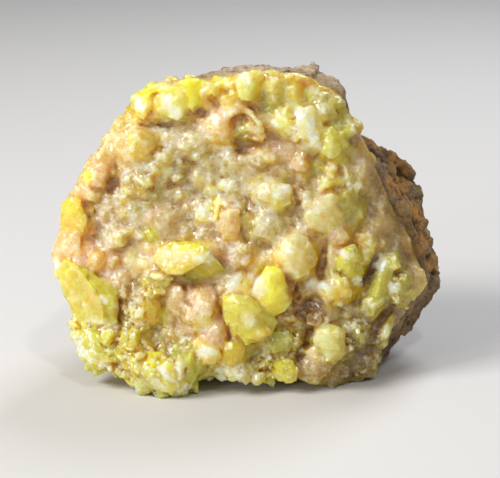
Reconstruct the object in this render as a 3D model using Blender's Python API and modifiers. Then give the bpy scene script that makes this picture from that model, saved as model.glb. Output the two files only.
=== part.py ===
"""Native sulfur on its limestone matrix, as one loose hand specimen.

Two pieces grew together: a crust of intergrown sulfur crystals that makes the
whole front, and the brown marly limestone that it grew on. The specimen is
about 67 wide, 36 deep and 52 high, and sits on three broken flats in one plane.
Lengths below are millimetres and are turned into metres by MM. +Z is up, the
crystal face looks along -Y, and the origin is under the middle of the box.
"""

import math
import random

import bmesh
import bpy
from mathutils import Matrix, Vector
from mathutils.bvhtree import BVHTree

MM = 0.001

# The crystals are laid out across and up the front, as they overlap when an
# eye this far off looks down on the front by this angle.
EYE_DISTANCE = 242.0
EYE_ABOVE = math.radians(18.0)
FRONT_CENTRE = Vector((-0.75, -10.0, 25.0))
FRONT_CENTRE_UP = 25.8

# The seam between crust and rock is a wavy sheet, open by SEAM_GAP.
SEAM_GAP = 0.3
SEAM_DEPTH = -3.4
SEAM_WAVE = 1.1

# Cell sizes of the two remeshed bodies, and how much of each mesh is kept.
CRUST_CELL = 0.75
ROCK_CELL = 1.1
CRUST_KEPT = 0.2
ROCK_KEPT = 0.2

# Corners of the broken lumps: (x, y, z). Each lump is the hull of its corners.
CRUST_BODY = (
    # top rim and right edge of the front
    (-17.5, -6.5, 49), (-11.4, -7, 50.4), (-1, -7, 51), (7, -6.5, 51), (12.5, -5.5, 49.3),
    (14.6, -5.5, 46.5), (17, -7, 41.5), (19.5, -7, 35), (22, -7, 28), (24, -7, 22),
    (27.5, -6.5, 18), (25, -8, 12), (21, -9, 6.5),
    # right flank, back to the seam
    (15.4, 0, 45.5), (17.8, 0, 41.2), (19.2, 0, 37.8), (21.2, 0, 32), (23, 0, 26.8),
    (25.2, 0, 21.6), (29.2, -0.5, 17.4), (29.8, -1, 15.8), (28.2, -1, 13.3),
    (24.8, -1, 10.1), (22.3, -3, 4.7),
    # lower edge
    (15, -13, 2.5), (7.5, -14.5, 2.2), (0, -15, 2.4), (-8, -15, 2.6), (-22, -13.5, 3),
    (-25.5, -12.8, 4.2),
    # left edge, upwards, and its back edge at the seam
    (-28.2, -11, 6.2), (-29.8, -10, 9), (-29.4, -9.5, 12.5), (-31.2, -9, 15),
    (-32.8, -8, 18.5), (-33.4, -8, 22), (-31.9, -7, 27), (-31.1, -7, 30.3),
    (-28.7, -6.5, 34.7), (-26.2, -6, 37.8), (-24.3, -5.5, 41), (-21.6, -5.5, 44.6),
    (-19, -5.5, 48), (-16.7, 0, 49.6), (-20, 0, 45.8), (-24, 0, 40.3), (-30, 0, 31.3),
    (-32.6, 0, 22.3), (-29.5, 0, 9.3), (-26, 0, 4.3),
)
CRUST_LEFT_FOOT = (
    (-17.6, -16, 0.7), (-15.5, -17, -0.4), (-12.2, -17, -0.4), (-10.6, -16, 0.7),
    (-21, -14, 1.8), (-25.2, -13, 3.4), (-9, -15.6, 1.6), (-22, -13, 8), (-8, -14.5, 8),
    (-16, -16, 6), (-12, -16.4, 5), (-18, -8, -0.4), (-10, -8, -0.4), (-14, -5, 0),
)
CRUST_RIGHT_FOOT = (
    (7.6, -14, 1.7), (8.8, -14, 0.7), (12.8, -13.2, -0.4), (17, -11, -0.4),
    (14.7, -12.4, -0.4), (18.6, -9, -0.2), (20.8, -6, -0.1), (22.1, -4, 0.6),
    (8, -14, 7), (17, -12, 9), (22, -8, 7), (10, -6, -0.4), (19, -4, -0.2),
)
ROCK_BODY = (
    (-17, -7, 49.3), (-9, -7, 50.8), (-2, -7, 51.6), (4, -7, 52), (9, -7, 51.8),
    (12.3, -7, 50.8), (15, -7, 47), (-8.8, 0, 50.5), (-0.4, 3, 51.5), (9, 2, 51.8),
    (13.9, 1, 48.8), (15, 0, 46.6), (15.8, 0, 44.6), (-8, 12, 46), (8, 12, 46.5),
    (-2, 15, 42.5), (-27, -7, 34), (-31, -7, 23), (-27.5, 1, 34), (-30.5, 0, 22),
    (-28, 1, 12), (-18, 2, 47), (-20, 12, 38), (-24.5, 12, 24), (-22, 13, 10),
    (-14, 16.6, 34), (10, 17, 36), (16, 16, 24), (-16, 17.4, 16), (6, 18, 15),
    (-20, -7, -1), (16, -7, -1), (-18, 13, -1), (12, 14, -1), (20, 4, -1),
)
ROCK_SHOULDER = (
    # outline of the right side, downwards
    (16.6, 0, 41), (19, 2, 38.9), (20.7, 3, 38), (23.8, 5, 37.1), (26.1, 5, 35.4),
    (27.5, 6, 33.3), (28.1, 6, 30.4), (29.2, 6, 26.9), (30.2, 6, 25.2), (31.4, 6, 21.1),
    (32.8, 5, 17.6), (33.8, 4, 14.6), (33.6, 3, 11.8), (32.2, 2, 9.3), (29.9, 1, 7.4),
    (27.7, 0, 5.9), (26.6, 0, 4.1), (26, -1, 2.4), (24.3, -2, 1.3), (22, -3, 0.4),
    # behind it, and inwards at the seam
    (21, 14, 33), (26, 14, 24), (26, 13, 10), (12, 16, 30), (18, 15, 6), (18, -7, 36),
    (21.4, -7, 29), (25, -7, 22), (28.4, -7, 17), (24, -7, 10), (20, -7, 3),
)
ROCK_KNOB = ((1, 2, 51), (2, 3, 52.5), (4.5, 3, 52.5), (6, 2, 51), (1, 5, 50), (6, 5, 50))

# A shallow hollow lined with small grains, in the upper left of the front.
HOLLOW_CENTRE = (-9.5, -18.4, 34.0)
HOLLOW_RADII = (16.0, 11.0, 13.5)
GRAIN_COUNT = 60
GRAIN_WIDTHS = (1.5, 2.8)
GRAIN_PROUD = 0.7

# Crystals of the crust: across, up, width, height, how far it stands proud,
# turn in degrees, and habit.
CRYSTALS = (
    # top rim, left to right
    (-17.9, 47.0, 3.0, 4.9, 0.9, 10, "block"),
    (-16.2, 49.0, 3.6, 3.0, 0.8, -20, "block"),
    (-13.4, 47.8, 4.4, 6.3, 1.8, -8, "block"),
    (-10.2, 48.8, 3.4, 5.3, 1.4, 12, "block"),
    (-6.9, 49.8, 3.8, 4.2, 1.0, -15, "round"),
    (-3.7, 47.6, 3.2, 4.2, 1.2, 25, "dipyramid"),
    (-1.4, 50.0, 3.8, 5.2, 1.6, -5, "block"),
    (5.8, 49.0, 4.4, 5.5, 1.0, 15, "round"),
    (11.2, 46.6, 3.8, 3.8, 1.4, -20, "dipyramid"),
    # upper middle and right
    (-5.9, 43.9, 5.7, 5.2, 2.0, -25, "round"),
    (-0.7, 43.9, 5.8, 4.4, 1.8, 30, "round"),
    (4.6, 44.8, 4.0, 4.3, 1.2, 0, "block"),
    (8.4, 43.9, 4.3, 7.1, 1.9, 8, "block"),
    (12.4, 41.4, 4.4, 5.8, 1.8, -12, "block"),
    # left rim, downwards
    (-21.8, 43.4, 3.6, 4.2, 0.9, 20, "round"),
    (-18.9, 41.0, 5.2, 5.7, 2.0, -10, "round"),
    (-24.0, 38.6, 3.8, 4.2, 1.0, 35, "round"),
    (-26.1, 34.8, 4.7, 5.4, 1.6, -20, "round"),
    (-28.6, 29.6, 4.4, 5.8, 1.6, 5, "block"),
    (-29.4, 25.0, 5.8, 5.6, 1.8, 15, "round"),
    (-28.8, 19.5, 5.6, 8.1, 1.9, -15, "block"),
    (-25.1, 15.9, 6.7, 8.3, 2.2, -30, "block"),
    (-26.6, 9.6, 5.5, 5.5, 1.4, 15, "block"),
    (-23.4, 10.4, 4.9, 5.2, 2.0, -5, "dipyramid"),
    (-24.6, 6.8, 6.2, 4.2, 1.4, 30, "block"),
    # middle
    (-22.2, 26.3, 3.4, 3.8, 1.3, 0, "round"),
    (-25.0, 22.1, 4.6, 4.4, 1.4, 20, "block"),
    (-21.8, 18.4, 5.0, 4.2, 1.3, -25, "block"),
    (-15.0, 19.2, 5.1, 4.4, 1.6, 10, "round"),
    (-12.9, 22.4, 5.2, 4.7, 2.4, -12, "block"),
    (-8.9, 23.2, 6.0, 4.6, 2.8, 15, "dipyramid"),
    (-8.2, 30.2, 3.6, 4.4, 1.4, 0, "round"),
    (-4.0, 28.3, 4.2, 5.7, 1.6, -10, "block"),
    (1.9, 27.9, 5.7, 5.1, 1.8, 20, "round"),
    (3.2, 33.3, 6.4, 5.1, 2.1, -5, "round"),
    (10.6, 30.2, 6.8, 7.0, 2.3, 25, "round"),
    (15.2, 31.7, 5.2, 6.2, 1.5, -10, "round"),
    (13.9, 26.5, 4.4, 4.4, 1.3, 0, "round"),
    (6.4, 23.2, 7.7, 8.3, 3.0, 10, "round"),
    (15.5, 22.1, 4.4, 5.1, 2.2, -15, "dipyramid"),
    # lower middle
    (3.2, 17.7, 6.0, 8.3, 4.4, -12, "dipyramid"),
    (-1.1, 14.0, 8.0, 9.9, 3.2, 15, "block"),
    (-8.4, 14.3, 5.4, 8.0, 2.4, -20, "block"),
    (-12.1, 16.2, 4.1, 5.7, 1.8, 12, "round"),
    (-6.3, 10.7, 5.7, 5.7, 2.2, -8, "round"),
    (-7.6, 7.5, 6.0, 4.6, 2.6, 5, "block"),
    (-3.7, 7.0, 5.1, 4.4, 1.9, -35, "block"),
    (-17.8, 14.3, 6.0, 6.0, 1.5, 25, "block"),
    (-20.2, 7.8, 6.0, 6.0, 1.7, -10, "block"),
    (13.1, 17.5, 6.0, 5.1, 2.0, 8, "block"),
    # feet and lower right
    (-17.2, 4.2, 5.1, 5.7, 1.2, -20, "block"),
    (-13.4, 3.2, 5.7, 5.1, 1.3, 30, "block"),
    (-11.1, 4.6, 3.4, 5.1, 1.2, 0, "block"),
    (-3.0, 4.6, 6.6, 3.1, 1.4, 0, "block"),
    (4.1, 9.1, 5.1, 4.4, 1.6, -15, "block"),
    (5.3, 4.8, 4.7, 4.4, 2.1, 20, "dipyramid"),
    (9.8, 5.4, 4.7, 7.1, 2.1, -5, "round"),
    (12.1, 8.9, 5.7, 7.3, 2.5, 8, "block"),
    (16.8, 10.1, 4.1, 5.1, 1.6, -20, "dipyramid"),
    (18.2, 5.8, 5.5, 5.5, 1.2, 15, "round"),
    (20.1, 16.7, 4.4, 9.1, 1.9, -30, "block"),
    (23.1, 17.9, 3.4, 5.8, 1.5, -35, "block"),
    (21.3, 11.0, 2.6, 6.5, 1.2, -25, "block"),
    (25.4, 18.8, 4.2, 6.3, 1.0, -25, "round"),
    (18.6, 25.2, 3.6, 5.0, 1.1, -20, "block"),
    (20.4, 29.4, 3.4, 6.4, 0.9, -15, "round"),
    (17.4, 36.6, 3.6, 6.0, 1.0, -10, "round"),
    (15.6, 42.6, 3.4, 5.2, 0.9, -15, "block"),
    (12.2, 35.8, 4.4, 4.4, 1.3, 10, "round"),
    (7.2, 37.6, 5.0, 4.2, 1.3, -10, "round"),
    (1.6, 39.2, 4.6, 3.8, 1.2, 15, "round"),
    (7.8, 32.6, 3.2, 3.8, 1.1, 0, "round"),
    (-1.8, 23.4, 3.8, 4.0, 1.1, 20, "block"),
    (-4.4, 20.0, 3.6, 4.6, 1.1, -15, "round"),
    (10.2, 13.6, 4.2, 4.6, 1.2, 10, "round"),
    (21.6, 22.4, 3.4, 4.8, 1.1, -30, "block"),
)


def clear_scene():
    for old in list(bpy.data.objects):
        bpy.data.objects.remove(old, do_unlink=True)


def make_collection(name):
    collection = bpy.data.collections.new(name)
    bpy.context.scene.collection.children.link(collection)
    return collection


def make_material(name, colour, roughness):
    material = bpy.data.materials.new(name)
    material.use_nodes = True
    shader = material.node_tree.nodes["Principled BSDF"]
    shader.inputs["Base Color"].default_value = (*colour, 1.0)
    shader.inputs["Roughness"].default_value = roughness
    shader.inputs["Metallic"].default_value = 0.0
    return material


def make_object(name, bm, collection):
    mesh = bpy.data.meshes.new(name)
    bm.to_mesh(mesh)
    bm.free()
    obj = bpy.data.objects.new(name, mesh)
    collection.objects.link(obj)
    return obj


def add_lump(bm, corners):
    """The convex hull of a lump's corners, added as one closed shell."""
    verts = [bm.verts.new(Vector(corner) * MM) for corner in corners]
    made = bmesh.ops.convex_hull(bm, input=verts)
    inside = made["geom_interior"] + made["geom_unused"]
    spare = [item for item in inside if isinstance(item, bmesh.types.BMVert)]
    bmesh.ops.delete(bm, geom=list(set(spare)), context="VERTS")


def cut_away(bm, point, normal):
    """Slices off what lies beyond a plane and closes the cut."""
    geometry = bm.verts[:] + bm.edges[:] + bm.faces[:]
    cut = bmesh.ops.bisect_plane(
        bm, geom=geometry, plane_co=point, plane_no=normal, clear_outer=True)
    rim = [item for item in cut["geom_cut"] if isinstance(item, bmesh.types.BMEdge)]
    if rim:
        bmesh.ops.edgeloop_fill(bm, edges=rim)


def crystal_shape(habit, dice):
    """One crystal of unit half size, centred, with +Y pointing out of the face."""
    bm = bmesh.new()
    if habit == "dipyramid":
        bmesh.ops.create_uvsphere(bm, u_segments=4, v_segments=2, radius=1.25)
        for side in (-1, 1):
            cut_away(bm, Vector((0, 0, side * 0.85)), Vector((0, 0, side)))
    elif habit == "block":
        bmesh.ops.create_cube(bm, size=2.0)
        for number in range(7):
            around = number * 2.0 * math.pi / 7 + dice.uniform(-0.3, 0.3)
            rise = dice.uniform(-0.9, 0.9)
            normal = Vector((math.cos(around), dice.uniform(0.2, 1.0), math.sin(around) + rise))
            normal.normalize()
            cut_away(bm, normal * dice.uniform(0.9, 1.15), normal)
    else:
        bmesh.ops.create_icosphere(bm, subdivisions=2, radius=1.05)
        for number in range(4):
            normal = Vector([dice.uniform(-1, 1) for axis in range(3)]).normalized()
            cut_away(bm, normal * dice.uniform(0.72, 0.9), normal)
    return bm


def set_in(bm, body_tree, across, up, size, proud, turn, tip, shape):
    """Sets one crystal into the lump where its sight line meets the front.

    size is its width, reach and height. The crystal stands proud of the lump
    by proud, and the rest of its reach is buried.
    """
    sight = Vector((0.0, math.cos(EYE_ABOVE), -math.sin(EYE_ABOVE)))
    upward = Vector((0.0, math.sin(EYE_ABOVE), math.cos(EYE_ABOVE)))
    eye = (FRONT_CENTRE - sight * EYE_DISTANCE) * MM
    on_front = Vector((across, FRONT_CENTRE.y, FRONT_CENTRE.z))
    on_front += upward * (up - FRONT_CENTRE_UP)
    line = (on_front * MM - eye).normalized()
    hit, normal, index, distance = body_tree.ray_cast(eye, line)
    if hit is None:
        hit, normal, index, distance = body_tree.find_nearest(on_front * MM)
    outward = (normal * 0.6 - sight * 0.4).normalized()
    side = upward.cross(outward).normalized()
    frame = Matrix((side, outward, side.cross(outward))).transposed()
    turned = Matrix.Rotation(math.radians(turn), 3, "Y") @ Matrix.Rotation(tip, 3, "X")
    half = Matrix.Diagonal(Vector(size) * 0.5 * MM)
    centre = hit + outward * (proud - size[1] / 2.0) * MM
    place = Matrix.Translation(centre) @ (frame @ turned @ half).to_4x4()
    bmesh.ops.transform(shape, matrix=place, verts=shape.verts)
    add_copy(bm, shape)


def add_crystals(bm, body_tree, dice):
    """The crystals that stand out, each in its own place."""
    for across, up, width, height, proud, turn, habit in CRYSTALS:
        size = (width, 0.45 * (width + height), height)
        tip = dice.uniform(-0.25, 0.25)
        shape = crystal_shape(habit, dice)
        set_in(bm, body_tree, across, up, size, proud + 0.4, turn, tip, shape)


def add_grains(bm, body_tree, dice):
    """The rounded grains that line the hollow."""
    for number in range(GRAIN_COUNT):
        around = number * math.pi * (3.0 - math.sqrt(5.0))
        out = math.sqrt((number + 0.5) / GRAIN_COUNT)
        across = HOLLOW_CENTRE[0] + 10.5 * out * math.cos(around)
        up = HOLLOW_CENTRE[2] + 1.2 + 7.5 * out * math.sin(around)
        width = dice.uniform(*GRAIN_WIDTHS)
        shape = crystal_shape("round", dice)
        size = (width, width, width)
        set_in(bm, body_tree, across, up, size, GRAIN_PROUD, 0.0, 0.0, shape)


def add_copy(bm, shape):
    """Adds one finished shape to a body and lets the shape go."""
    carrier = bpy.data.meshes.new("carrier")
    bmesh.ops.recalc_face_normals(shape, faces=shape.faces)
    shape.to_mesh(carrier)
    shape.free()
    bm.from_mesh(carrier)
    bpy.data.meshes.remove(carrier)


def seam_depth(x, z):
    """Where the crust ends and the rock begins, in millimetres along Y."""
    wave = SEAM_WAVE * math.sin(0.17 * x + 1.0) * math.sin(0.21 * z + 0.4)
    wave += 0.5 * SEAM_WAVE * math.sin(0.33 * x - 0.29 * z)
    return SEAM_DEPTH + wave


def make_seam_cutter(name, shift, direction, collection):
    """A block that fills one side of the seam, moved off it by shift."""
    bm = bmesh.new()
    bmesh.ops.create_grid(bm, x_segments=24, y_segments=22, size=0.5)
    for vert in bm.verts:
        x = vert.co.x * 90.0
        z = vert.co.y * 80.0 + 25.0
        vert.co = Vector((x, seam_depth(x, z) + shift, z)) * MM
    bmesh.ops.triangulate(bm, faces=bm.faces[:], quad_method="FIXED")
    wall = bmesh.ops.extrude_face_region(bm, geom=bm.faces[:])
    moved = [item for item in wall["geom"] if isinstance(item, bmesh.types.BMVert)]
    bmesh.ops.translate(bm, verts=moved, vec=Vector((0.0, 40.0 * direction * MM, 0.0)))
    bmesh.ops.recalc_face_normals(bm, faces=bm.faces)
    return make_cutter(name, bm, collection)


def make_floor_cutter(collection):
    """Everything below the plane that the specimen rests on."""
    bm = bmesh.new()
    bmesh.ops.create_cube(bm, size=1.0)
    bmesh.ops.scale(bm, vec=Vector((90.0, 60.0, 20.0)) * MM, verts=bm.verts)
    bmesh.ops.translate(bm, vec=Vector((0.0, 0.0, -10.0)) * MM, verts=bm.verts)
    return make_cutter("below_the_rest_plane", bm, collection)


def make_hollow_cutter(collection):
    """The ball that scoops the grain-lined hollow out of the front."""
    bm = bmesh.new()
    bmesh.ops.create_icosphere(bm, subdivisions=3, radius=1.0)
    bmesh.ops.scale(bm, vec=Vector(HOLLOW_RADII) * MM, verts=bm.verts)
    bmesh.ops.translate(bm, vec=Vector(HOLLOW_CENTRE) * MM, verts=bm.verts)
    return make_cutter("grain_hollow", bm, collection)


def make_cutter(name, bm, collection):
    cutter = make_object(name, bm, collection)
    cutter.hide_render = True
    cutter.display_type = "WIRE"
    return cutter


def add_remesh(obj, cell):
    """Grows the overlapping shells into one body."""
    remesh = obj.modifiers.new("grown_together", "REMESH")
    remesh.mode = "VOXEL"
    remesh.voxel_size = cell * MM


def add_roughness(obj, grain, strength):
    texture = bpy.data.textures.new(obj.name + "_surface", "CLOUDS")
    texture.noise_scale = grain * MM
    texture.noise_depth = 2
    displace = obj.modifiers.new("broken_surface", "DISPLACE")
    displace.texture = texture
    displace.texture_coords = "LOCAL"
    displace.mid_level = 0.5
    displace.strength = strength * MM


def add_thinning(obj, kept):
    thin = obj.modifiers.new("fewer_faces", "DECIMATE")
    thin.decimate_type = "COLLAPSE"
    thin.ratio = kept
    thin.use_collapse_triangulate = True


def add_cut(obj, cutter):
    cut = obj.modifiers.new("cut_" + cutter.name, "BOOLEAN")
    cut.operation = "DIFFERENCE"
    cut.solver = "EXACT"
    cut.object = cutter


def settled(obj):
    """The object's mesh with its modifiers worked out; the object is let go."""
    depsgraph = bpy.context.evaluated_depsgraph_get()
    mesh = bpy.data.meshes.new_from_object(obj.evaluated_get(depsgraph))
    bpy.data.objects.remove(obj)
    bm = bmesh.new()
    bm.from_mesh(mesh)
    bpy.data.meshes.remove(mesh)
    return bm


def keep_outer_skin(bm):
    """Drops the skins of small hollows that growing together closed in."""
    unseen = set(bm.verts)
    skins = []
    while unseen:
        front = [unseen.pop()]
        skin = list(front)
        while front:
            vert = front.pop()
            for edge in vert.link_edges:
                other = edge.other_vert(vert)
                if other in unseen:
                    unseen.remove(other)
                    front.append(other)
                    skin.append(other)
        skins.append(skin)
    outer = max(skins, key=len)
    for skin in skins:
        if skin is not outer:
            bmesh.ops.delete(bm, geom=skin, context="VERTS")


def make_hollowed_body(parts, cutters):
    """The main lump of the crust with the hollow scooped out of it."""
    whole = bmesh.new()
    add_lump(whole, CRUST_BODY)
    body = make_object("hollowed_body", whole, parts)
    add_cut(body, make_hollow_cutter(cutters))
    return settled(body)


def make_crust(parts, cutters, floor_cutter):
    """The sulfur: three lumps and every crystal, grown into one body."""
    dice = random.Random(16)
    bm = make_hollowed_body(parts, cutters)
    for corners in (CRUST_LEFT_FOOT, CRUST_RIGHT_FOOT):
        add_lump(bm, corners)
    body_tree = BVHTree.FromBMesh(bm)
    add_grains(bm, body_tree, dice)
    add_crystals(bm, body_tree, dice)
    shells = make_object("crystal_shells", bm, parts)
    add_remesh(shells, CRUST_CELL)
    grown = settled(shells)
    keep_outer_skin(grown)
    crust = make_object("sulfur_crust", grown, parts)
    crust.data.materials.append(make_material("sulfur", (0.72, 0.58, 0.18), 0.35))
    add_roughness(crust, 4.0, 0.5)
    add_thinning(crust, CRUST_KEPT)
    behind = make_seam_cutter("behind_the_seam", -SEAM_GAP / 2.0, 1.0, cutters)
    add_cut(crust, behind)
    add_cut(crust, floor_cutter)
    return crust


def make_rock(parts, cutters, floor_cutter):
    """The limestone: the main lump, its right shoulder and a knob on top."""
    bm = bmesh.new()
    for corners in (ROCK_BODY, ROCK_SHOULDER, ROCK_KNOB):
        add_lump(bm, corners)
    lumps = make_object("rock_lumps", bm, parts)
    add_remesh(lumps, ROCK_CELL)
    grown = settled(lumps)
    keep_outer_skin(grown)
    rock = make_object("host_rock", grown, parts)
    rock.data.materials.append(make_material("marly_limestone", (0.30, 0.21, 0.13), 0.9))
    add_roughness(rock, 7.0, 2.0)
    add_thinning(rock, ROCK_KEPT)
    before = make_seam_cutter("before_the_seam", SEAM_GAP / 2.0, -1.0, cutters)
    add_cut(rock, before)
    add_cut(rock, floor_cutter)
    return rock


clear_scene()
part_collection = make_collection("native_sulfur")
cutter_collection = make_collection("cutters")
floor_block = make_floor_cutter(cutter_collection)
make_crust(part_collection, cutter_collection, floor_block)
make_rock(part_collection, cutter_collection, floor_block)
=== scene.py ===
import math
import random
from collections import namedtuple

import bmesh
import bpy
import numpy as np
from mathutils import Matrix, Vector, noise
from mathutils.bvhtree import BVHTree


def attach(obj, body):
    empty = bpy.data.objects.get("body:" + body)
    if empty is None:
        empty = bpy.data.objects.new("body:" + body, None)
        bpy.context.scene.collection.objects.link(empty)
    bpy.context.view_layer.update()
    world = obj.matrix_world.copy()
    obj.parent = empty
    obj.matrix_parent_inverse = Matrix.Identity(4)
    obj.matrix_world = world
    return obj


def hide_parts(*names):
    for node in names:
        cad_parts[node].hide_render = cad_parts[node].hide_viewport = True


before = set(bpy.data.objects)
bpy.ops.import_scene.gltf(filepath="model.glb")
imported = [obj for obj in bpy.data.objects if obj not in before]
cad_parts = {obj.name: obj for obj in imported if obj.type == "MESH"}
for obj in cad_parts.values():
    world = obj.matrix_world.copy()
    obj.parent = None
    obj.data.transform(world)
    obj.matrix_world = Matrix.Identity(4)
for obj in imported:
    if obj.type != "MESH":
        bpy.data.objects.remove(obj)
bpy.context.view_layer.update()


# ---- Eye ----
# Where the specimen is looked at from: level with its face and a little above.
# The larger crystals are set where a sight line from here meets the crust.
MM = 0.001
VIEW_WIDTH = 500
VIEW_HEIGHT = 478
FOCAL_PIXELS = 1490.0
SENSOR_WIDTH = 36.0
EYE_ABOVE = math.radians(18.0)
EYE_DISTANCE = 242.0 * MM
LOOK_AT = Vector((-0.75, -10.0, 25.0)) * MM

sight = Vector((0.0, math.cos(EYE_ABOVE), -math.sin(EYE_ABOVE)))
sight_up = Vector((0.0, math.sin(EYE_ABOVE), math.cos(EYE_ABOVE)))
sight_right = Vector((1.0, 0.0, 0.0))
eye = LOOK_AT - sight * EYE_DISTANCE


def put_in_scene(name, data):
    thing = bpy.data.objects.new(name, data)
    bpy.context.scene.collection.objects.link(thing)
    return thing


camera = put_in_scene("camera", bpy.data.cameras.new("camera"))
camera.location = eye
camera.rotation_euler = (math.pi / 2.0 - EYE_ABOVE, 0.0, 0.0)
camera.data.sensor_width = SENSOR_WIDTH
camera.data.lens = FOCAL_PIXELS / VIEW_WIDTH * SENSOR_WIDTH
camera.data.clip_start = 10.0 * MM
bpy.context.scene.camera = camera


def sight_line(x, y):
    """The direction from the eye through a place in the view, counted from its top left."""
    across = (x - VIEW_WIDTH / 2.0) / FOCAL_PIXELS
    up = (VIEW_HEIGHT / 2.0 - y) / FOCAL_PIXELS
    return (sight + sight_right * across + sight_up * up).normalized()


def place_in_view(point):
    """Where the eye sees a point."""
    offset = point - eye
    depth = offset.dot(sight)
    x = VIEW_WIDTH / 2.0 + FOCAL_PIXELS * offset.dot(sight_right) / depth
    y = VIEW_HEIGHT / 2.0 - FOCAL_PIXELS * offset.dot(sight_up) / depth
    return x, y


def in_view(points):
    """Where the eye sees each row of a table of points."""
    offsets = points - np.array(eye)
    depth = offsets @ np.array(sight)
    x = VIEW_WIDTH / 2.0 + FOCAL_PIXELS * (offsets @ np.array(sight_right)) / depth
    y = VIEW_HEIGHT / 2.0 - FOCAL_PIXELS * (offsets @ np.array(sight_up)) / depth
    return x, y


# a touch is full out to 0.7 of the way across its oval, and gone at 1.4 times it
TOUCH_PEAK = 1.35
TOUCH_FADE = 0.7


def touch(x, y, oval):
    """How far places in the view lie inside an oval with a soft border, from 0 to 1."""
    middle_x, middle_y, width, height, turn = oval
    angle = math.radians(turn)
    across = (x - middle_x) * math.cos(angle) - (y - middle_y) * math.sin(angle)
    along = (x - middle_x) * math.sin(angle) + (y - middle_y) * math.cos(angle)
    away = (2.0 * across / width) ** 2 + (2.0 * along / height) ** 2
    return np.clip(TOUCH_PEAK - away * TOUCH_FADE, 0.0, 1.0)


# ---- Host rock ----
# The brown marly limestone that the sulfur grew on: a broken, earthy, pitted
# lump with rust stains. It is one piece, and its underside is a flat break.
ROCK_CELL = 0.36 * MM
ROCK_SOFTENING = 14

# the layers of its relief: how wide and how deep each is, in millimetres
LUMP_WIDTH, LUMP_DEPTH = 8.0, 0.7
KNOB_WIDTH, KNOB_DEPTH = 2.6, 0.38
GRIT_WIDTH, GRIT_DEPTH = 0.8, 0.24
BED_WIDTH, BED_DEPTH = 2.6, 0.4
POCK_WIDTH, POCK_DEPTH = 2.2, 3.2
HOLE_WIDTH, HOLE_DEPTH = 1.0, 1.8
CHIP_WIDTH, CHIP_DEPTH = 5.0, 1.9
SPALL_WIDTH, SPALL_DEPTH = 1.8, 0.7
POROUS_WIDTH = 9.0
LEAST_WEAR = 0.80
DEEPEST_WEAR = 2.6
# how near the crust the wear dies away, and how far the rock swells to meet it there
SEAM = 3.0 * MM
SEAM_SWELL = 0.5
# a pit this deep gets the full painted shade, black; it is measured against a surface smoothed this often
PIT_FULL_SHADE = 0.35
PIT_ROUNDS = 24
# the height where the pale tan ledge under the top edge starts, partly the rock's own tan and partly
# painted light on its top, over which it comes in, and how far round to the back it goes
LEDGE_FROM = 45.5
LEDGE_REACH = 3.0
LEDGE_FACING = 0.8

ROCK_BROWN = (0.25, 0.145, 0.065)
ROCK_TAN = (0.60, 0.40, 0.20)
ROCK_RUST = (0.84, 0.42, 0.11)
# the ledge's pale tan is partly painted light on the top of the rock
ROCK_LEDGE_LIT = (0.88, 0.69, 0.47)
ROCK_CREST = (0.62, 0.44, 0.25)
ROCK_GRIT = (0.70, 0.56, 0.40)
# the dark of grit specks, and of the painted shade in the pits
ROCK_SPECKS_AND_PIT_SHADE = (0.035, 0.022, 0.013)
SULFUR_STAIN = (0.50, 0.40, 0.12)

# Which way its beds face, and its rusty places: x and y in the view, width, height and turn there.
BEDDING = Vector((0.25, 0.45, 0.86))
RUSTY = (
    (384, 142, 50, 20, -20), (402, 160, 26, 44, -20), (398, 186, 26, 30, 0), (410, 222, 30, 40, -15),
    (420, 244, 20, 26, -15), (404, 206, 20, 16, 0), (434, 262, 16, 20, 0), (330, 74, 30, 12, -20),
)

# without a seed of its own the vector noise is new at every start
noise.seed_set(5)


def merged_copy(node):
    """A CAD solid as one joined mesh."""
    bm = bmesh.new()
    bm.from_mesh(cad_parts[node].data)
    bmesh.ops.remove_doubles(bm, verts=bm.verts[:], dist=0.001 * MM)
    return bm


def mesh_of(bm, name):
    """The mesh that a bmesh makes, and the end of the bmesh."""
    mesh = bpy.data.meshes.new(name)
    bm.to_mesh(mesh)
    bm.free()
    return mesh


def worked_out(bm, kind, **settings):
    """The mesh that a modifier makes of a bmesh."""
    mesh = mesh_of(bm, "blank")
    blank = put_in_scene("blank", mesh)
    modifier = blank.modifiers.new(kind.lower(), kind)
    for key, value in settings.items():
        setattr(modifier, key, value)
    depsgraph = bpy.context.evaluated_depsgraph_get()
    result = bpy.data.meshes.new_from_object(blank.evaluated_get(depsgraph))
    bpy.data.objects.remove(blank)
    bpy.data.meshes.remove(mesh)
    return result


def remeshed(bm, cell):
    """One closed skin round all that a bmesh holds, in squares of one size."""
    return worked_out(bm, "REMESH", mode="VOXEL", voxel_size=cell)


def points_of(mesh):
    flat = np.empty(len(mesh.vertices) * 3)
    mesh.vertices.foreach_get("co", flat)
    return flat.reshape(-1, 3)


def normals_of(mesh):
    flat = np.empty(len(mesh.vertices) * 3, dtype=np.float32)
    mesh.vertex_normals.foreach_get("vector", flat)
    return flat.reshape(-1, 3).astype(float)


def move_points(mesh, points):
    mesh.vertices.foreach_set("co", points.reshape(-1))
    mesh.update()


def edges_of(mesh):
    flat = np.empty(len(mesh.edges) * 2, dtype=np.int32)
    mesh.edges.foreach_get("vertices", flat)
    return flat.reshape(-1, 2)


def neighbour_mean(values, edges):
    """Each vertex's mean over its neighbours, for numbers or rows of numbers."""
    table = values.reshape(len(values), -1)
    ends = np.concatenate((edges[:, 0], edges[:, 1]))
    others = np.concatenate((edges[:, 1], edges[:, 0]))
    share = np.maximum(np.bincount(ends, minlength=len(table)), 1)
    columns = [
        np.bincount(ends, weights=table[others, column], minlength=len(table)) / share
        for column in range(table.shape[1])
    ]
    return np.stack(columns, axis=1).reshape(values.shape)


def smoothed(values, edges, rounds, pull=0.5):
    for number in range(rounds):
        values = values + pull * (neighbour_mean(values, edges) - values)
    return values


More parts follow.
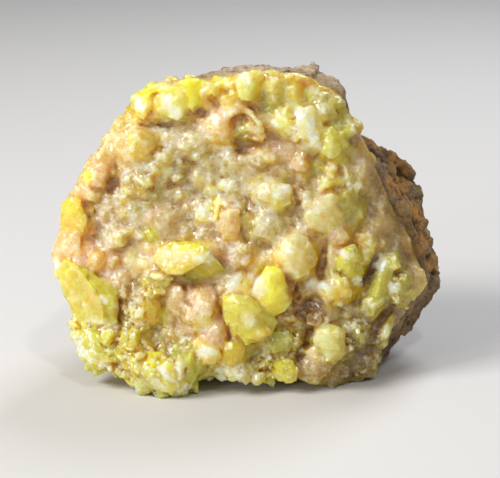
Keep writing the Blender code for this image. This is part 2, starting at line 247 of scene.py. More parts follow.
def pit_depth(mesh, rounds):
    """How far each vertex lies below its surroundings, in millimetres."""
    points = points_of(mesh)
    lifted = smoothed(points, edges_of(mesh), rounds)
    return ((lifted - points) * normals_of(mesh)).sum(axis=1) / MM


def store_number(mesh, name, values):
    layer = mesh.attributes.new(name=name, type="FLOAT", domain="POINT")
    layer.data.foreach_set("value", np.asarray(values, dtype=np.float32))


def set_down(points):
    """Keeps points from going below what the specimen stands on."""
    points[:, 2] = np.maximum(points[:, 2], 0.0)
    return points


def facets(place, width):
    """The height of a surface broken into flat bits of that width, each tilted its own way."""
    spot = noise.voronoi(place / width)[1][0]
    tilt = noise.cell_vector(spot * 9.0) - Vector((0.5, 0.5, 0.5))
    return tilt.dot(place / width - spot)


def swell(place, width, *shift):
    """Smooth noise of that width, shifted so that no two layers run together."""
    return noise.noise(place / width + Vector(shift))


def rock_relief(x, y, z):
    """How deep the rock's surface is worn at a point, in millimetres."""
    place = Vector((x, y, z)) / MM
    bend = noise.noise_vector(place / 1.6) * 1.0
    lumps = noise.fractal(place / LUMP_WIDTH, 0.9, 2.2, 4)
    knobs = noise.fractal(place / KNOB_WIDTH + Vector((5.0, 1.0, 2.0)), 0.75, 2.2, 4)
    grit = noise.noise(place / GRIT_WIDTH) + 0.6 * swell(place, 0.5, 4.0, 2.0, 6.0)
    level = place.dot(BEDDING) / BED_WIDTH + 0.8 * swell(place, 6.0, 7.0, 2.0, 3.0)
    beds = abs(level - math.floor(level) - 0.35)
    porous = min(1.0, max(0.0, -0.15 + 3.2 * swell(place, POROUS_WIDTH, 1.0, 6.0, 2.0)))
    pocks = max(0.0, swell(place + bend, POCK_WIDTH, 9.0, 3.0, 5.0) - 0.20)
    holes = max(0.0, swell(place + bend, HOLE_WIDTH, 2.0, 8.0, 1.0) - 0.24)
    pits = porous * (pocks * POCK_DEPTH + holes * HOLE_DEPTH)
    chips = CHIP_DEPTH * facets(place + bend * 0.5, CHIP_WIDTH)
    spalls = SPALL_DEPTH * facets(place + bend * 0.3, SPALL_WIDTH)
    rough = LUMP_DEPTH * lumps + KNOB_DEPTH * knobs + GRIT_DEPTH * grit + BED_DEPTH * beds
    return LEAST_WEAR + rough + chips + spalls + pits


def show(name, mesh, node):
    """Puts a finished mesh in the scene in place of its CAD node."""
    mesh.name = name
    piece = put_in_scene(name, mesh)
    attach(piece, "root")
    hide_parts(node)


rock_mesh = remeshed(merged_copy("host_rock"), ROCK_CELL)
rock_edges = edges_of(rock_mesh)
rock_points = smoothed(points_of(rock_mesh), rock_edges, ROCK_SOFTENING)
move_points(rock_mesh, rock_points)
wear = np.array([rock_relief(*point) for point in rock_points])
crust_solid = merged_copy("sulfur_crust")
solid_tree = BVHTree.FromBMesh(crust_solid)
for number, point in enumerate(rock_points):
    spot, normal, index, distance = solid_tree.find_nearest(point, SEAM)
    if spot is not None:
        share = distance / SEAM
        wear[number] = max(wear[number], 0.0) * share - SEAM_SWELL * (1.0 - share)
worn = np.clip(wear, -SEAM_SWELL, DEEPEST_WEAR)
rock_points = rock_points - normals_of(rock_mesh) * worn[:, None] * MM
rock_points = set_down(smoothed(rock_points, rock_edges, 1, 0.3))
move_points(rock_mesh, rock_points)
# how deep each pit lies: it paints shade in the pits and tan on the crests
rock_pits = smoothed(pit_depth(rock_mesh, PIT_ROUNDS), rock_edges, 2) / PIT_FULL_SHADE
store_number(rock_mesh, "pit", np.clip(rock_pits, -1.0, 1.0))
rock_x, rock_y = in_view(rock_points)
store_number(rock_mesh, "rust", np.max([touch(rock_x, rock_y, oval) for oval in RUSTY], axis=0))
# the ledge on top: its own tan, painted paler as light on its top
high = np.clip(rock_points[:, 2] / MM - LEDGE_FROM, 0.0, LEDGE_REACH) / LEDGE_REACH
store_number(rock_mesh, "lit_ledge", high * (normals_of(rock_mesh)[:, 1] < LEDGE_FACING))
rock_mesh.shade_smooth()
show("host_rock_fine", rock_mesh, "host_rock")


class Wire:
    """A shader socket that sums can be written with."""

    def __init__(self, finish, socket):
        self.finish = finish
        self.socket = socket

    def sum(self, operation, first, second):
        inputs = {0: first, 1: second}
        return self.finish.node("ShaderNodeMath", {"operation": operation}, inputs)

    def __add__(self, other):
        return self.sum("ADD", self, other)

    def __radd__(self, other):
        return self.sum("ADD", other, self)

    def __sub__(self, other):
        return self.sum("SUBTRACT", self, other)

    def __rsub__(self, other):
        return self.sum("SUBTRACT", other, self)

    def __mul__(self, other):
        return self.sum("MULTIPLY", self, other)

    def __rmul__(self, other):
        return self.sum("MULTIPLY", other, self)

    def over(self, low, high):
        """0 below low, 1 above high, and even between them."""
        settings = {"clamp": True, "interpolation_type": "SMOOTHSTEP"}
        inputs = {"Value": self, "From Min": low, "From Max": high}
        return self.finish.node("ShaderNodeMapRange", settings, inputs)


class Finish:
    """One material, made node by node."""

    def __init__(self, name):
        self.material = bpy.data.materials.new(name)
        self.material.use_nodes = True
        self.tree = self.material.node_tree
        self.tree.nodes.clear()
        self.place = self.node("ShaderNodeTexCoord", output="Object")

    def node(self, kind, settings=None, inputs=None, output=0):
        made = self.tree.nodes.new(kind)
        for key, value in (settings or {}).items():
            setattr(made, key, value)
        for key, value in (inputs or {}).items():
            if isinstance(value, Wire):
                self.tree.links.new(value.socket, made.inputs[key])
            else:
                made.inputs[key].default_value = value
        return Wire(self, made.outputs[output]) if made.outputs else made

    def noise(self, millimetres, detail, roughness, warp=0.0):
        inputs = {
            "Vector": self.place, "Scale": 1.0 / (millimetres * MM), "Detail": detail,
            "Roughness": roughness, "Distortion": warp,
        }
        return self.node("ShaderNodeTexNoise", None, inputs)

    def vector_sum(self, operation, inputs, output=0):
        return self.node("ShaderNodeVectorMath", {"operation": operation}, inputs, output)

    def shards(self, place, millimetres):
        """A colour of its own for each shard of a cracked pattern."""
        inputs = {"Vector": place, "Scale": 1.0 / (millimetres * MM)}
        return self.node("ShaderNodeTexVoronoi", None, inputs, "Color")

    def flakes(self, millimetres):
        """Facets of that width, each tilted its own way, as a height in metres."""
        tilt = self.vector_sum("SUBTRACT", {0: self.shards(self.place, millimetres), 1: (0.5, 0.5, 0.5)})
        return self.vector_sum("DOT_PRODUCT", {0: tilt, 1: self.place}, "Value")

    def cells(self, millimetres, warp):
        """A random number for each piece of a crackled pattern."""
        inputs = {"Vector": self.place, "Scale": 0.7 / (millimetres * MM), "Detail": 2.0}
        bend = self.node("ShaderNodeTexNoise", None, inputs, "Color")
        bend = self.vector_sum("SCALE", {0: bend, "Scale": warp * millimetres * MM * 2.0})
        place = self.vector_sum("ADD", {0: self.place, 1: bend})
        return self.node("ShaderNodeSeparateColor", None, {0: self.shards(place, millimetres)})

    def attribute(self, name, output="Fac"):
        return self.node("ShaderNodeAttribute", {"attribute_name": name}, None, output)

    def mix(self, amount, first, second, blend="MIX"):
        settings = {"data_type": "RGBA", "blend_type": blend}
        inputs = {0: amount, 6: self.colour(first), 7: self.colour(second)}
        return self.node("ShaderNodeMix", settings, inputs, 2)

    def colour(self, value):
        return value if isinstance(value, Wire) else (*value, 1.0)

    def bump(self, height, strength, depth, under=None):
        inputs = {"Height": height, "Strength": strength, "Distance": depth}
        if under is not None:
            inputs["Normal"] = under
        return self.node("ShaderNodeBump", None, inputs)

    def finish(self, inputs):
        shader = self.node("ShaderNodeBsdfPrincipled", None, inputs)
        self.node("ShaderNodeOutputMaterial", None, {"Surface": shader})
        return self.material


def rock_finish():
    """Earthy brown marl, tan where it stands out, rusty in patches, with dark grit specks, painted black
    shade in its pits and a pale ledge on top that is partly painted light.
    """
    f = Finish("marly_limestone")
    pit = f.attribute("pit")
    patches = f.noise(7.0, 4.0, 0.6, 0.6)
    mottle = f.noise(1.6, 5.0, 0.65)
    grit = f.noise(0.35, 3.0, 0.7)
    sand = f.noise(0.7, 5.0, 0.8)
    rust = f.noise(10.0, 4.0, 0.62, 1.0)
    stain = f.noise(5.0, 4.0, 0.6, 0.8)
    rusty = (f.attribute("rust") * 0.5 + rust * 0.6 + mottle * 1.3).over(1.16, 1.52)
    colour = f.mix(mottle.over(0.36, 0.66), ROCK_BROWN, ROCK_TAN)
    colour = f.mix(patches.over(0.46, 0.62) * 0.7, colour, ROCK_BROWN)
    colour = f.mix(rusty * 0.95, colour, ROCK_RUST)
    # the ledge: partly the rock's own tan, partly painted light on its top
    colour = f.mix(f.attribute("lit_ledge") * mottle.over(0.30, 0.54) * 0.9, colour, ROCK_LEDGE_LIT)
    colour = f.mix(stain.over(0.62, 0.72) * 0.5, colour, SULFUR_STAIN)
    colour = f.mix((0.0 - pit).over(0.1, 0.8) * 0.5, colour, ROCK_CREST)
    # painted shade: black in the pits
    colour = f.mix(pit.over(0.12, 0.75) * 0.88, colour, ROCK_SPECKS_AND_PIT_SHADE)
    colour = f.mix(grit.over(0.55, 0.72) * 0.5, colour, ROCK_GRIT)
    colour = f.mix((1.0 - grit).over(0.58, 0.74) * 0.7, colour, ROCK_SPECKS_AND_PIT_SHADE)
    colour = f.mix((1.0 - sand).over(0.54, 0.64) * 0.42, colour, ROCK_SPECKS_AND_PIT_SHADE)
    bumps = f.bump(grit, 0.9, 0.3 * MM)
    bumps = f.bump(sand, 0.8, 0.5 * MM, bumps)
    bumps = f.bump(mottle, 0.6, 0.6 * MM, bumps)
    return f.finish({"Base Color": colour, "Roughness": 0.92, "Normal": bumps, "IOR": 1.45})


rock_mesh.materials.append(rock_finish())


# ---- Crystal crust ----
# Translucent yellow sulfur, grown as one mass over the face of the rock: dusty
# and sugary in the middle, olive and smooth at the right, clear and golden in
# the crystals round the rim. They are grown together, with nothing between them.
CORE_CELL = 0.4 * MM
CORE_SOFTENING = 10
BODY_CELL = 0.26 * MM
BODY_SOFTENING = 4
BODY_SHRINK = 0.15
CRUST_CELL = 0.18 * MM
CRUST_FILLING = 22
CRUST_TRIANGLES = 190000
CREASE = math.radians(32.0)

TINTS = {
    "snow": (0.98, 0.97, 0.84), "white": (0.94, 0.91, 0.77), "pale": (0.88, 0.83, 0.28),
    "lemon": (0.94, 0.90, 0.06), "acid": (0.70, 0.67, 0.06), "lime": (0.58, 0.57, 0.13),
    "moss": (0.34, 0.32, 0.05), "cream": (0.92, 0.78, 0.45), "butter": (0.86, 0.69, 0.25),
    "horn": (0.90, 0.83, 0.58), "rose": (0.84, 0.62, 0.46), "mist": (0.66, 0.65, 0.28),
    "peach": (0.88, 0.58, 0.28), "citrine": (0.73, 0.69, 0.09), "spring": (0.68, 0.72, 0.14),
    "gold": (0.80, 0.61, 0.04), "honey": (0.74, 0.48, 0.08), "pink": (0.78, 0.54, 0.34),
    "tan": (0.62, 0.46, 0.25), "olive": (0.54, 0.49, 0.07), "grey": (0.72, 0.66, 0.50),
    "sugar": (0.64, 0.54, 0.37), "amber": (0.52, 0.27, 0.01), "brown": (0.28, 0.14, 0.03),
}

# What the crust is like, place by place: x, y and reach in the view, tint of
# its body, tenths of dust, what grows there and in which tints.
Zone = namedtuple("Zone", "x y reach body dust habit tints")
ZONES = [Zone(*row[:4], row[4] / 10.0, row[5], row[6].split()) for row in (
    (146, 100, 18, "gold", 1, "smooth", "gold lemon honey"),
    (160, 90, 14, "peach", 3, "smooth", "gold cream"), (178, 100, 18, "pale", 0, "smooth", "pale lemon"),
    (196, 88, 14, "gold", 1, "smooth", "lemon gold cream"),
    (215, 88, 18, "butter", 2, "smooth", "gold cream honey"),
    (245, 88, 16, "gold", 0, "smooth", "pale gold lemon"),
    (262, 72, 14, "gold", 1, "smooth", "pale gold"), (305, 72, 26, "honey", 3, "flat", "honey gold"),
    (272, 98, 20, "gold", 0, "flat", "gold olive"), (300, 98, 16, "pale", 0, "smooth", "gold pale grey"),
    (304, 122, 18, "pale", 0, "druse", "pale white grey"),
    (328, 104, 16, "olive", 1, "smooth", "olive gold pale"),
    (332, 142, 16, "acid", 0, "smooth", "lemon acid"), (318, 168, 18, "gold", 2, "flat", "olive tan"),
    (345, 125, 16, "olive", 2, "flat", "olive tan"), (228, 118, 16, "peach", 5, "smooth", "cream pink"),
    (207, 122, 14, "peach", 5, "smooth", "cream pink"), (246, 140, 12, "honey", 1, "flat", "honey amber"),
    (262, 132, 14, "cream", 5, "smooth", "cream pink"), (190, 116, 14, "honey", 5, "sugar", "honey tan"),
    (172, 135, 16, "sugar", 5, "sugar", "sugar grey white"),
    (200, 145, 22, "grey", 3, "sugar", "sugar grey white"),
    (160, 165, 22, "grey", 3, "sugar", "sugar grey white"),
    (190, 172, 24, "sugar", 5, "sugar", "sugar grey tan"),
    (225, 172, 22, "grey", 5, "sugar", "grey sugar"),
    (222, 195, 20, "grey", 2, "sugar", "grey pale sugar"),
    (255, 158, 16, "tan", 5, "smooth", "pink grey"),
    (280, 160, 20, "pink", 5, "smooth", "pink tan sugar"),
    (270, 194, 18, "grey", 1, "smooth", "grey pale"), (268, 226, 18, "grey", 4, "sugar", "grey sugar"),
    (300, 205, 16, "tan", 6, "sugar", "tan grey"), (232, 226, 16, "rose", 4, "smooth", "rose olive"),
    (200, 222, 16, "tan", 8, "sugar", "cream sugar"),
    (165, 218, 22, "tan", 8, "smooth", "tan sugar pink"),
    (140, 190, 18, "olive", 4, "sugar", "sugar tan"), (120, 150, 16, "peach", 5, "smooth", "cream honey"),
    (143, 143, 16, "gold", 4, "smooth", "olive cream"),
    (103, 160, 16, "peach", 5, "smooth", "honey cream"),
    (94, 178, 16, "peach", 3, "smooth", "cream gold"), (80, 195, 14, "peach", 4, "smooth", "cream pink"),
    (112, 182, 12, "amber", 3, "smooth", "honey amber"),
    (106, 210, 18, "tan", 9, "sugar", "tan pink tan"),
    (126, 235, 16, "tan", 7, "sugar", "white sugar pink"),
    (74, 213, 14, "gold", 0, "smooth", "peach gold"), (66, 242, 16, "peach", 5, "smooth", "cream pink"),
    (90, 235, 14, "peach", 3, "smooth", "gold honey"),
    (105, 262, 18, "rose", 5, "smooth", "pink peach tan"),
    (135, 262, 16, "cream", 4, "smooth", "cream pink"), (60, 270, 12, "lemon", 0, "smooth", "lemon acid"),
    (80, 290, 20, "gold", 0, "flat", "citrine lemon"), (108, 305, 16, "olive", 0, "flat", "gold lemon"),
    (128, 285, 14, "tan", 5, "sugar", "gold tan"), (135, 310, 16, "grey", 2, "druse", "grey pale tan"),
    (150, 300, 14, "olive", 2, "druse", "olive gold pale"),
    (160, 315, 12, "acid", 2, "smooth", "acid olive"),
    (82, 335, 16, "pale", 0, "druse", "spring pale acid"),
    (98, 345, 16, "spring", 0, "druse", "spring pale citrine"),
    (108, 328, 14, "citrine", 0, "druse", "pale citrine white"),
    (130, 340, 16, "citrine", 0, "druse", "gold citrine pale"),
    (130, 362, 16, "citrine", 1, "druse", "citrine gold honey"),
    (152, 362, 14, "citrine", 0, "druse", "citrine acid gold"),
    (165, 345, 14, "olive", 3, "sugar", "olive tan"),
    (170, 380, 22, "spring", 0, "druse", "lime spring white"),
    (190, 250, 20, "gold", 1, "smooth", "cream gold"), (178, 296, 16, "pink", 6, "smooth", "pink tan"),
    (170, 325, 14, "tan", 8, "sugar", "tan pink"), (203, 300, 16, "pink", 5, "smooth", "pink cream"),
    (205, 325, 14, "pink", 5, "smooth", "pink white"), (218, 295, 8, "amber", 1, "smooth", "honey amber"),
    (230, 330, 12, "honey", 3, "smooth", "honey gold"), (212, 340, 12, "pink", 5, "smooth", "pink cream"),
    (186, 350, 16, "olive", 2, "smooth", "olive lime"),
    (235, 355, 16, "citrine", 0, "smooth", "olive gold"),
    (235, 374, 18, "grey", 0, "druse", "pale grey lime"),
    (240, 290, 18, "cream", 2, "smooth", "cream pale"), (225, 265, 14, "pink", 5, "smooth", "pink tan"),
    (245, 255, 12, "tan", 7, "sugar", "grey tan pink"),
    (258, 265, 12, "cream", 4, "smooth", "cream pink"), (250, 320, 20, "gold", 0, "smooth", "pale lemon"),
    (295, 255, 22, "horn", 1, "smooth", "horn gold"), (298, 292, 12, "honey", 1, "smooth", "honey amber"),
    (312, 310, 16, "brown", 1, "smooth", "tan honey"), (288, 322, 12, "cream", 4, "sugar", "cream pink"),
    (320, 260, 12, "honey", 2, "smooth", "honey gold"),
    (334, 258, 12, "cream", 3, "smooth", "cream grey"),
    (350, 268, 16, "acid", 0, "druse", "acid white pale"),
    (340, 290, 14, "gold", 2, "smooth", "cream gold"),
    (340, 310, 16, "tan", 3, "sugar", "grey tan sugar"),
    # the dark olive and brown tints of the lower right are partly the crust's own colour, partly painted
    # shade where that corner lies away from the light
    (355, 335, 16, "moss", 1, "druse", "lime olive grey"),
    (285, 340, 16, "olive", 0, "druse", "olive lime pale"),
    (272, 365, 16, "olive", 2, "druse", "lime olive pale"),
    (330, 345, 18, "mist", 2, "smooth", "mist lime"), (315, 368, 16, "tan", 3, "smooth", "tan cream"),
    (350, 365, 18, "moss", 3, "sugar", "olive brown moss"),
    (372, 350, 18, "moss", 3, "sugar", "olive brown"), (378, 290, 16, "lime", 0, "smooth", "lime acid"),
    (400, 285, 14, "olive", 2, "druse", "lime olive"), (418, 280, 16, "tan", 5, "flat", "olive tan"),
    (395, 330, 20, "brown", 6, "flat", "tan brown"), (366, 270, 10, "brown", 3, "smooth", "amber brown"),
    (325, 215, 20, "horn", 5, "smooth", "horn rose"), (342, 180, 12, "cream", 4, "sugar", "cream white"),
    (350, 205, 14, "olive", 0, "flat", "olive gold"), (340, 238, 12, "pink", 6, "smooth", "pink cream"),
    (360, 235, 14, "honey", 1, "flat", "honey olive"), (365, 180, 16, "tan", 4, "flat", "olive tan"),
    (384, 230, 18, "tan", 5, "flat", "olive tan"), (362, 150, 16, "tan", 4, "flat", "olive tan"),
    (385, 180, 22, "brown", 6, "flat", "tan brown"), (400, 240, 20, "brown", 6, "flat", "tan brown"),
)]


def in_threes(*table):
    """Rows of a tint and its corners: x and y in the view, and rise in tenths of a millimetre."""
    return [
        (tint, [(x, y, rise / 10.0) for x, y, rise in zip(flat[::3], flat[1::3], flat[2::3])])
        for tint, *flat in table
    ]


# Rounded crystals of the body, drawn by their corners.
SOFT_CRYSTALS = in_threes(
    # dusty lumps round the hollow
    ("butter", 126, 136, 4, 134, 128, 6, 146, 128, 6, 158, 136, 4, 161, 148, 3, 154, 158, 3,
     142, 160, 3, 130, 154, 4, 139, 139, 23, 149, 147, 20),
    ("cream", 108, 138, 3, 116, 126, 4, 127, 119, 4, 131, 130, 6, 124, 146, 5, 113, 152, 4,
     120, 135, 13),
    ("cream", 112, 160, 2, 120, 150, 6, 134, 152, 8, 137, 160, 5, 124, 167, 3, 126, 158, 13),
    ("peach", 80, 176, 2, 88, 167, 4, 100, 165, 4, 108, 172, 4, 107, 184, 3, 96, 190, 3, 84, 188, 3,
     94, 176, 19),
    ("peach", 70, 192, 2, 76, 184, 4, 88, 184, 5, 94, 194, 4, 88, 202, 3, 76, 203, 2, 81, 193, 16),
    ("peach", 51, 247, 1, 55, 237, 3, 62, 227, 4, 74, 226, 5, 83, 238, 5, 81, 255, 4, 70, 261, 3,
     55, 260, 2, 66, 242, 18),
    ("tan", 88, 208, 3, 96, 200, 5, 110, 196, 5, 120, 202, 5, 122, 214, 4, 112, 222, 3, 98, 222, 3,
     105, 208, 17),
    ("tan", 144, 214, 3, 152, 204, 5, 168, 200, 5, 182, 206, 4, 188, 220, 4, 182, 236, 4, 168, 242, 4,
     154, 236, 3, 166, 216, 20),
    ("sugar", 98, 236, 2, 104, 226, 4, 114, 230, 4, 118, 244, 4, 110, 254, 3, 100, 250, 2, 108, 238, 11),
    ("grey", 130, 214, 3, 137, 208, 4, 144, 213, 4, 142, 223, 3, 133, 224, 3, 137, 215, 12),
    # the curled arch and its neighbours
    ("peach", 206, 118, 3, 214, 110, 6, 226, 110, 6, 230, 122, 7, 224, 134, 5, 212, 136, 4,
     204, 128, 3, 217, 121, 19),
    ("cream", 203, 138, 2, 212, 132, 4, 224, 138, 4, 222, 147, 3, 208, 148, 2, 214, 139, 10),
    ("pink", 262, 148, 3, 270, 138, 5, 284, 136, 6, 296, 142, 5, 300, 154, 4, 288, 162, 3, 272, 160, 3,
     281, 148, 14),
    ("tan", 222, 158, 3, 234, 152, 6, 252, 154, 6, 258, 164, 5, 248, 174, 4, 228, 172, 3, 240, 162, 13),
    ("tan", 262, 166, 2, 276, 160, 5, 292, 166, 5, 292, 176, 3, 276, 178, 3, 277, 168, 11),
    # upper right
    ("acid", 320, 140, 5, 324, 129, 7, 333, 124, 7, 341, 131, 6, 343, 147, 5, 338, 159, 4, 328, 161, 4,
     321, 152, 4, 331, 140, 19),
    ("olive", 257, 96, 4, 262, 82, 6, 276, 78, 7, 290, 84, 6, 292, 98, 5, 284, 110, 4, 268, 112, 4,
     274, 92, 15),
    # right of the middle
    ("horn", 302, 217, 4, 311, 206, 8, 322, 196, 9, 334, 190, 9, 342, 200, 8, 344, 216, 6, 338, 230, 5,
     322, 235, 5, 308, 229, 4, 321, 211, 23, 332, 204, 21),
    ("pale", 318, 192, 4, 324, 181, 6, 336, 176, 7, 346, 180, 6, 344, 188, 5, 330, 190, 7, 333, 182, 16),
    ("olive", 338, 204, 3, 344, 190, 5, 356, 184, 5, 364, 196, 3, 362, 214, 3, 350, 222, 3,
     351, 202, 15),
    ("pink", 328, 238, 4, 334, 229, 6, 346, 228, 6, 352, 238, 4, 346, 246, 4, 334, 246, 4, 340, 236, 14),
    ("grey", 254, 188, 4, 262, 182, 7, 276, 180, 8, 289, 184, 7, 293, 194, 5, 284, 202, 5, 268, 205, 5,
     256, 200, 4, 270, 191, 23, 281, 190, 21),
    ("grey", 253, 218, 4, 262, 211, 6, 276, 211, 7, 285, 220, 6, 284, 233, 4, 272, 241, 4, 258, 238, 3,
     268, 223, 20),
    ("horn", 278, 246, 6, 285, 235, 9, 296, 231, 10, 308, 235, 9, 316, 247, 8, 315, 263, 6,
     309, 277, 5, 297, 281, 5, 286, 274, 6, 278, 261, 6, 290, 250, 32, 302, 256, 30),
    ("cream", 323, 258, 4, 327, 246, 6, 337, 246, 7, 339, 262, 5, 334, 274, 4, 325, 272, 4,
     331, 257, 18),
    # pinkish crystals below the middle
    ("pink", 162, 296, 4, 168, 285, 6, 181, 284, 7, 189, 294, 6, 186, 308, 5, 176, 317, 4, 166, 310, 4,
     175, 297, 19),
    ("pink", 188, 300, 5, 193, 288, 7, 205, 284, 8, 213, 290, 7, 217, 305, 5, 213, 318, 5, 200, 318, 5,
     190, 312, 5, 200, 296, 23, 208, 304, 23),
    ("white", 190, 320, 4, 196, 312, 7, 208, 314, 7, 214, 324, 5, 206, 333, 4, 194, 331, 4,
     202, 321, 16),
    ("pink", 204, 336, 4, 212, 324, 7, 224, 316, 8, 231, 324, 6, 231, 338, 4, 222, 348, 4, 208, 346, 4,
     219, 331, 19),
    ("cream", 228, 290, 4, 238, 278, 8, 250, 270, 9, 256, 276, 9, 250, 290, 8, 238, 298, 5,
     243, 283, 19),
    ("cream", 252, 262, 3, 260, 254, 6, 272, 256, 6, 272, 264, 5, 258, 270, 4, 263, 260, 12),
    ("tan", 222, 262, 2, 230, 248, 5, 240, 252, 5, 240, 268, 4, 228, 274, 3, 232, 260, 11),
    ("cream", 122, 270, 3, 132, 260, 6, 146, 258, 7, 160, 266, 6, 150, 273, 4, 134, 275, 3,
     142, 265, 15),
    ("pink", 112, 276, 2, 118, 262, 5, 130, 272, 4, 130, 288, 3, 120, 294, 2, 121, 277, 12),
    # lower right
    ("tan", 303, 352, 5, 312, 344, 7, 322, 347, 7, 329, 362, 5, 328, 376, 4, 318, 386, 3, 307, 386, 3,
     303, 374, 4, 315, 357, 20, 317, 371, 18),
    ("gold", 332, 292, 5, 334, 283, 8, 345, 284, 8, 354, 291, 6, 352, 301, 4, 340, 300, 4, 343, 290, 17),
    ("tan", 406, 272, 1, 416, 264, 2, 426, 270, 1, 429, 284, 0, 420, 298, 1, 408, 294, 2, 417, 280, 5),
    ("tan", 362, 236, 2, 372, 222, 4, 386, 230, 3, 388, 248, 3, 374, 252, 4, 375, 237, 10),
)
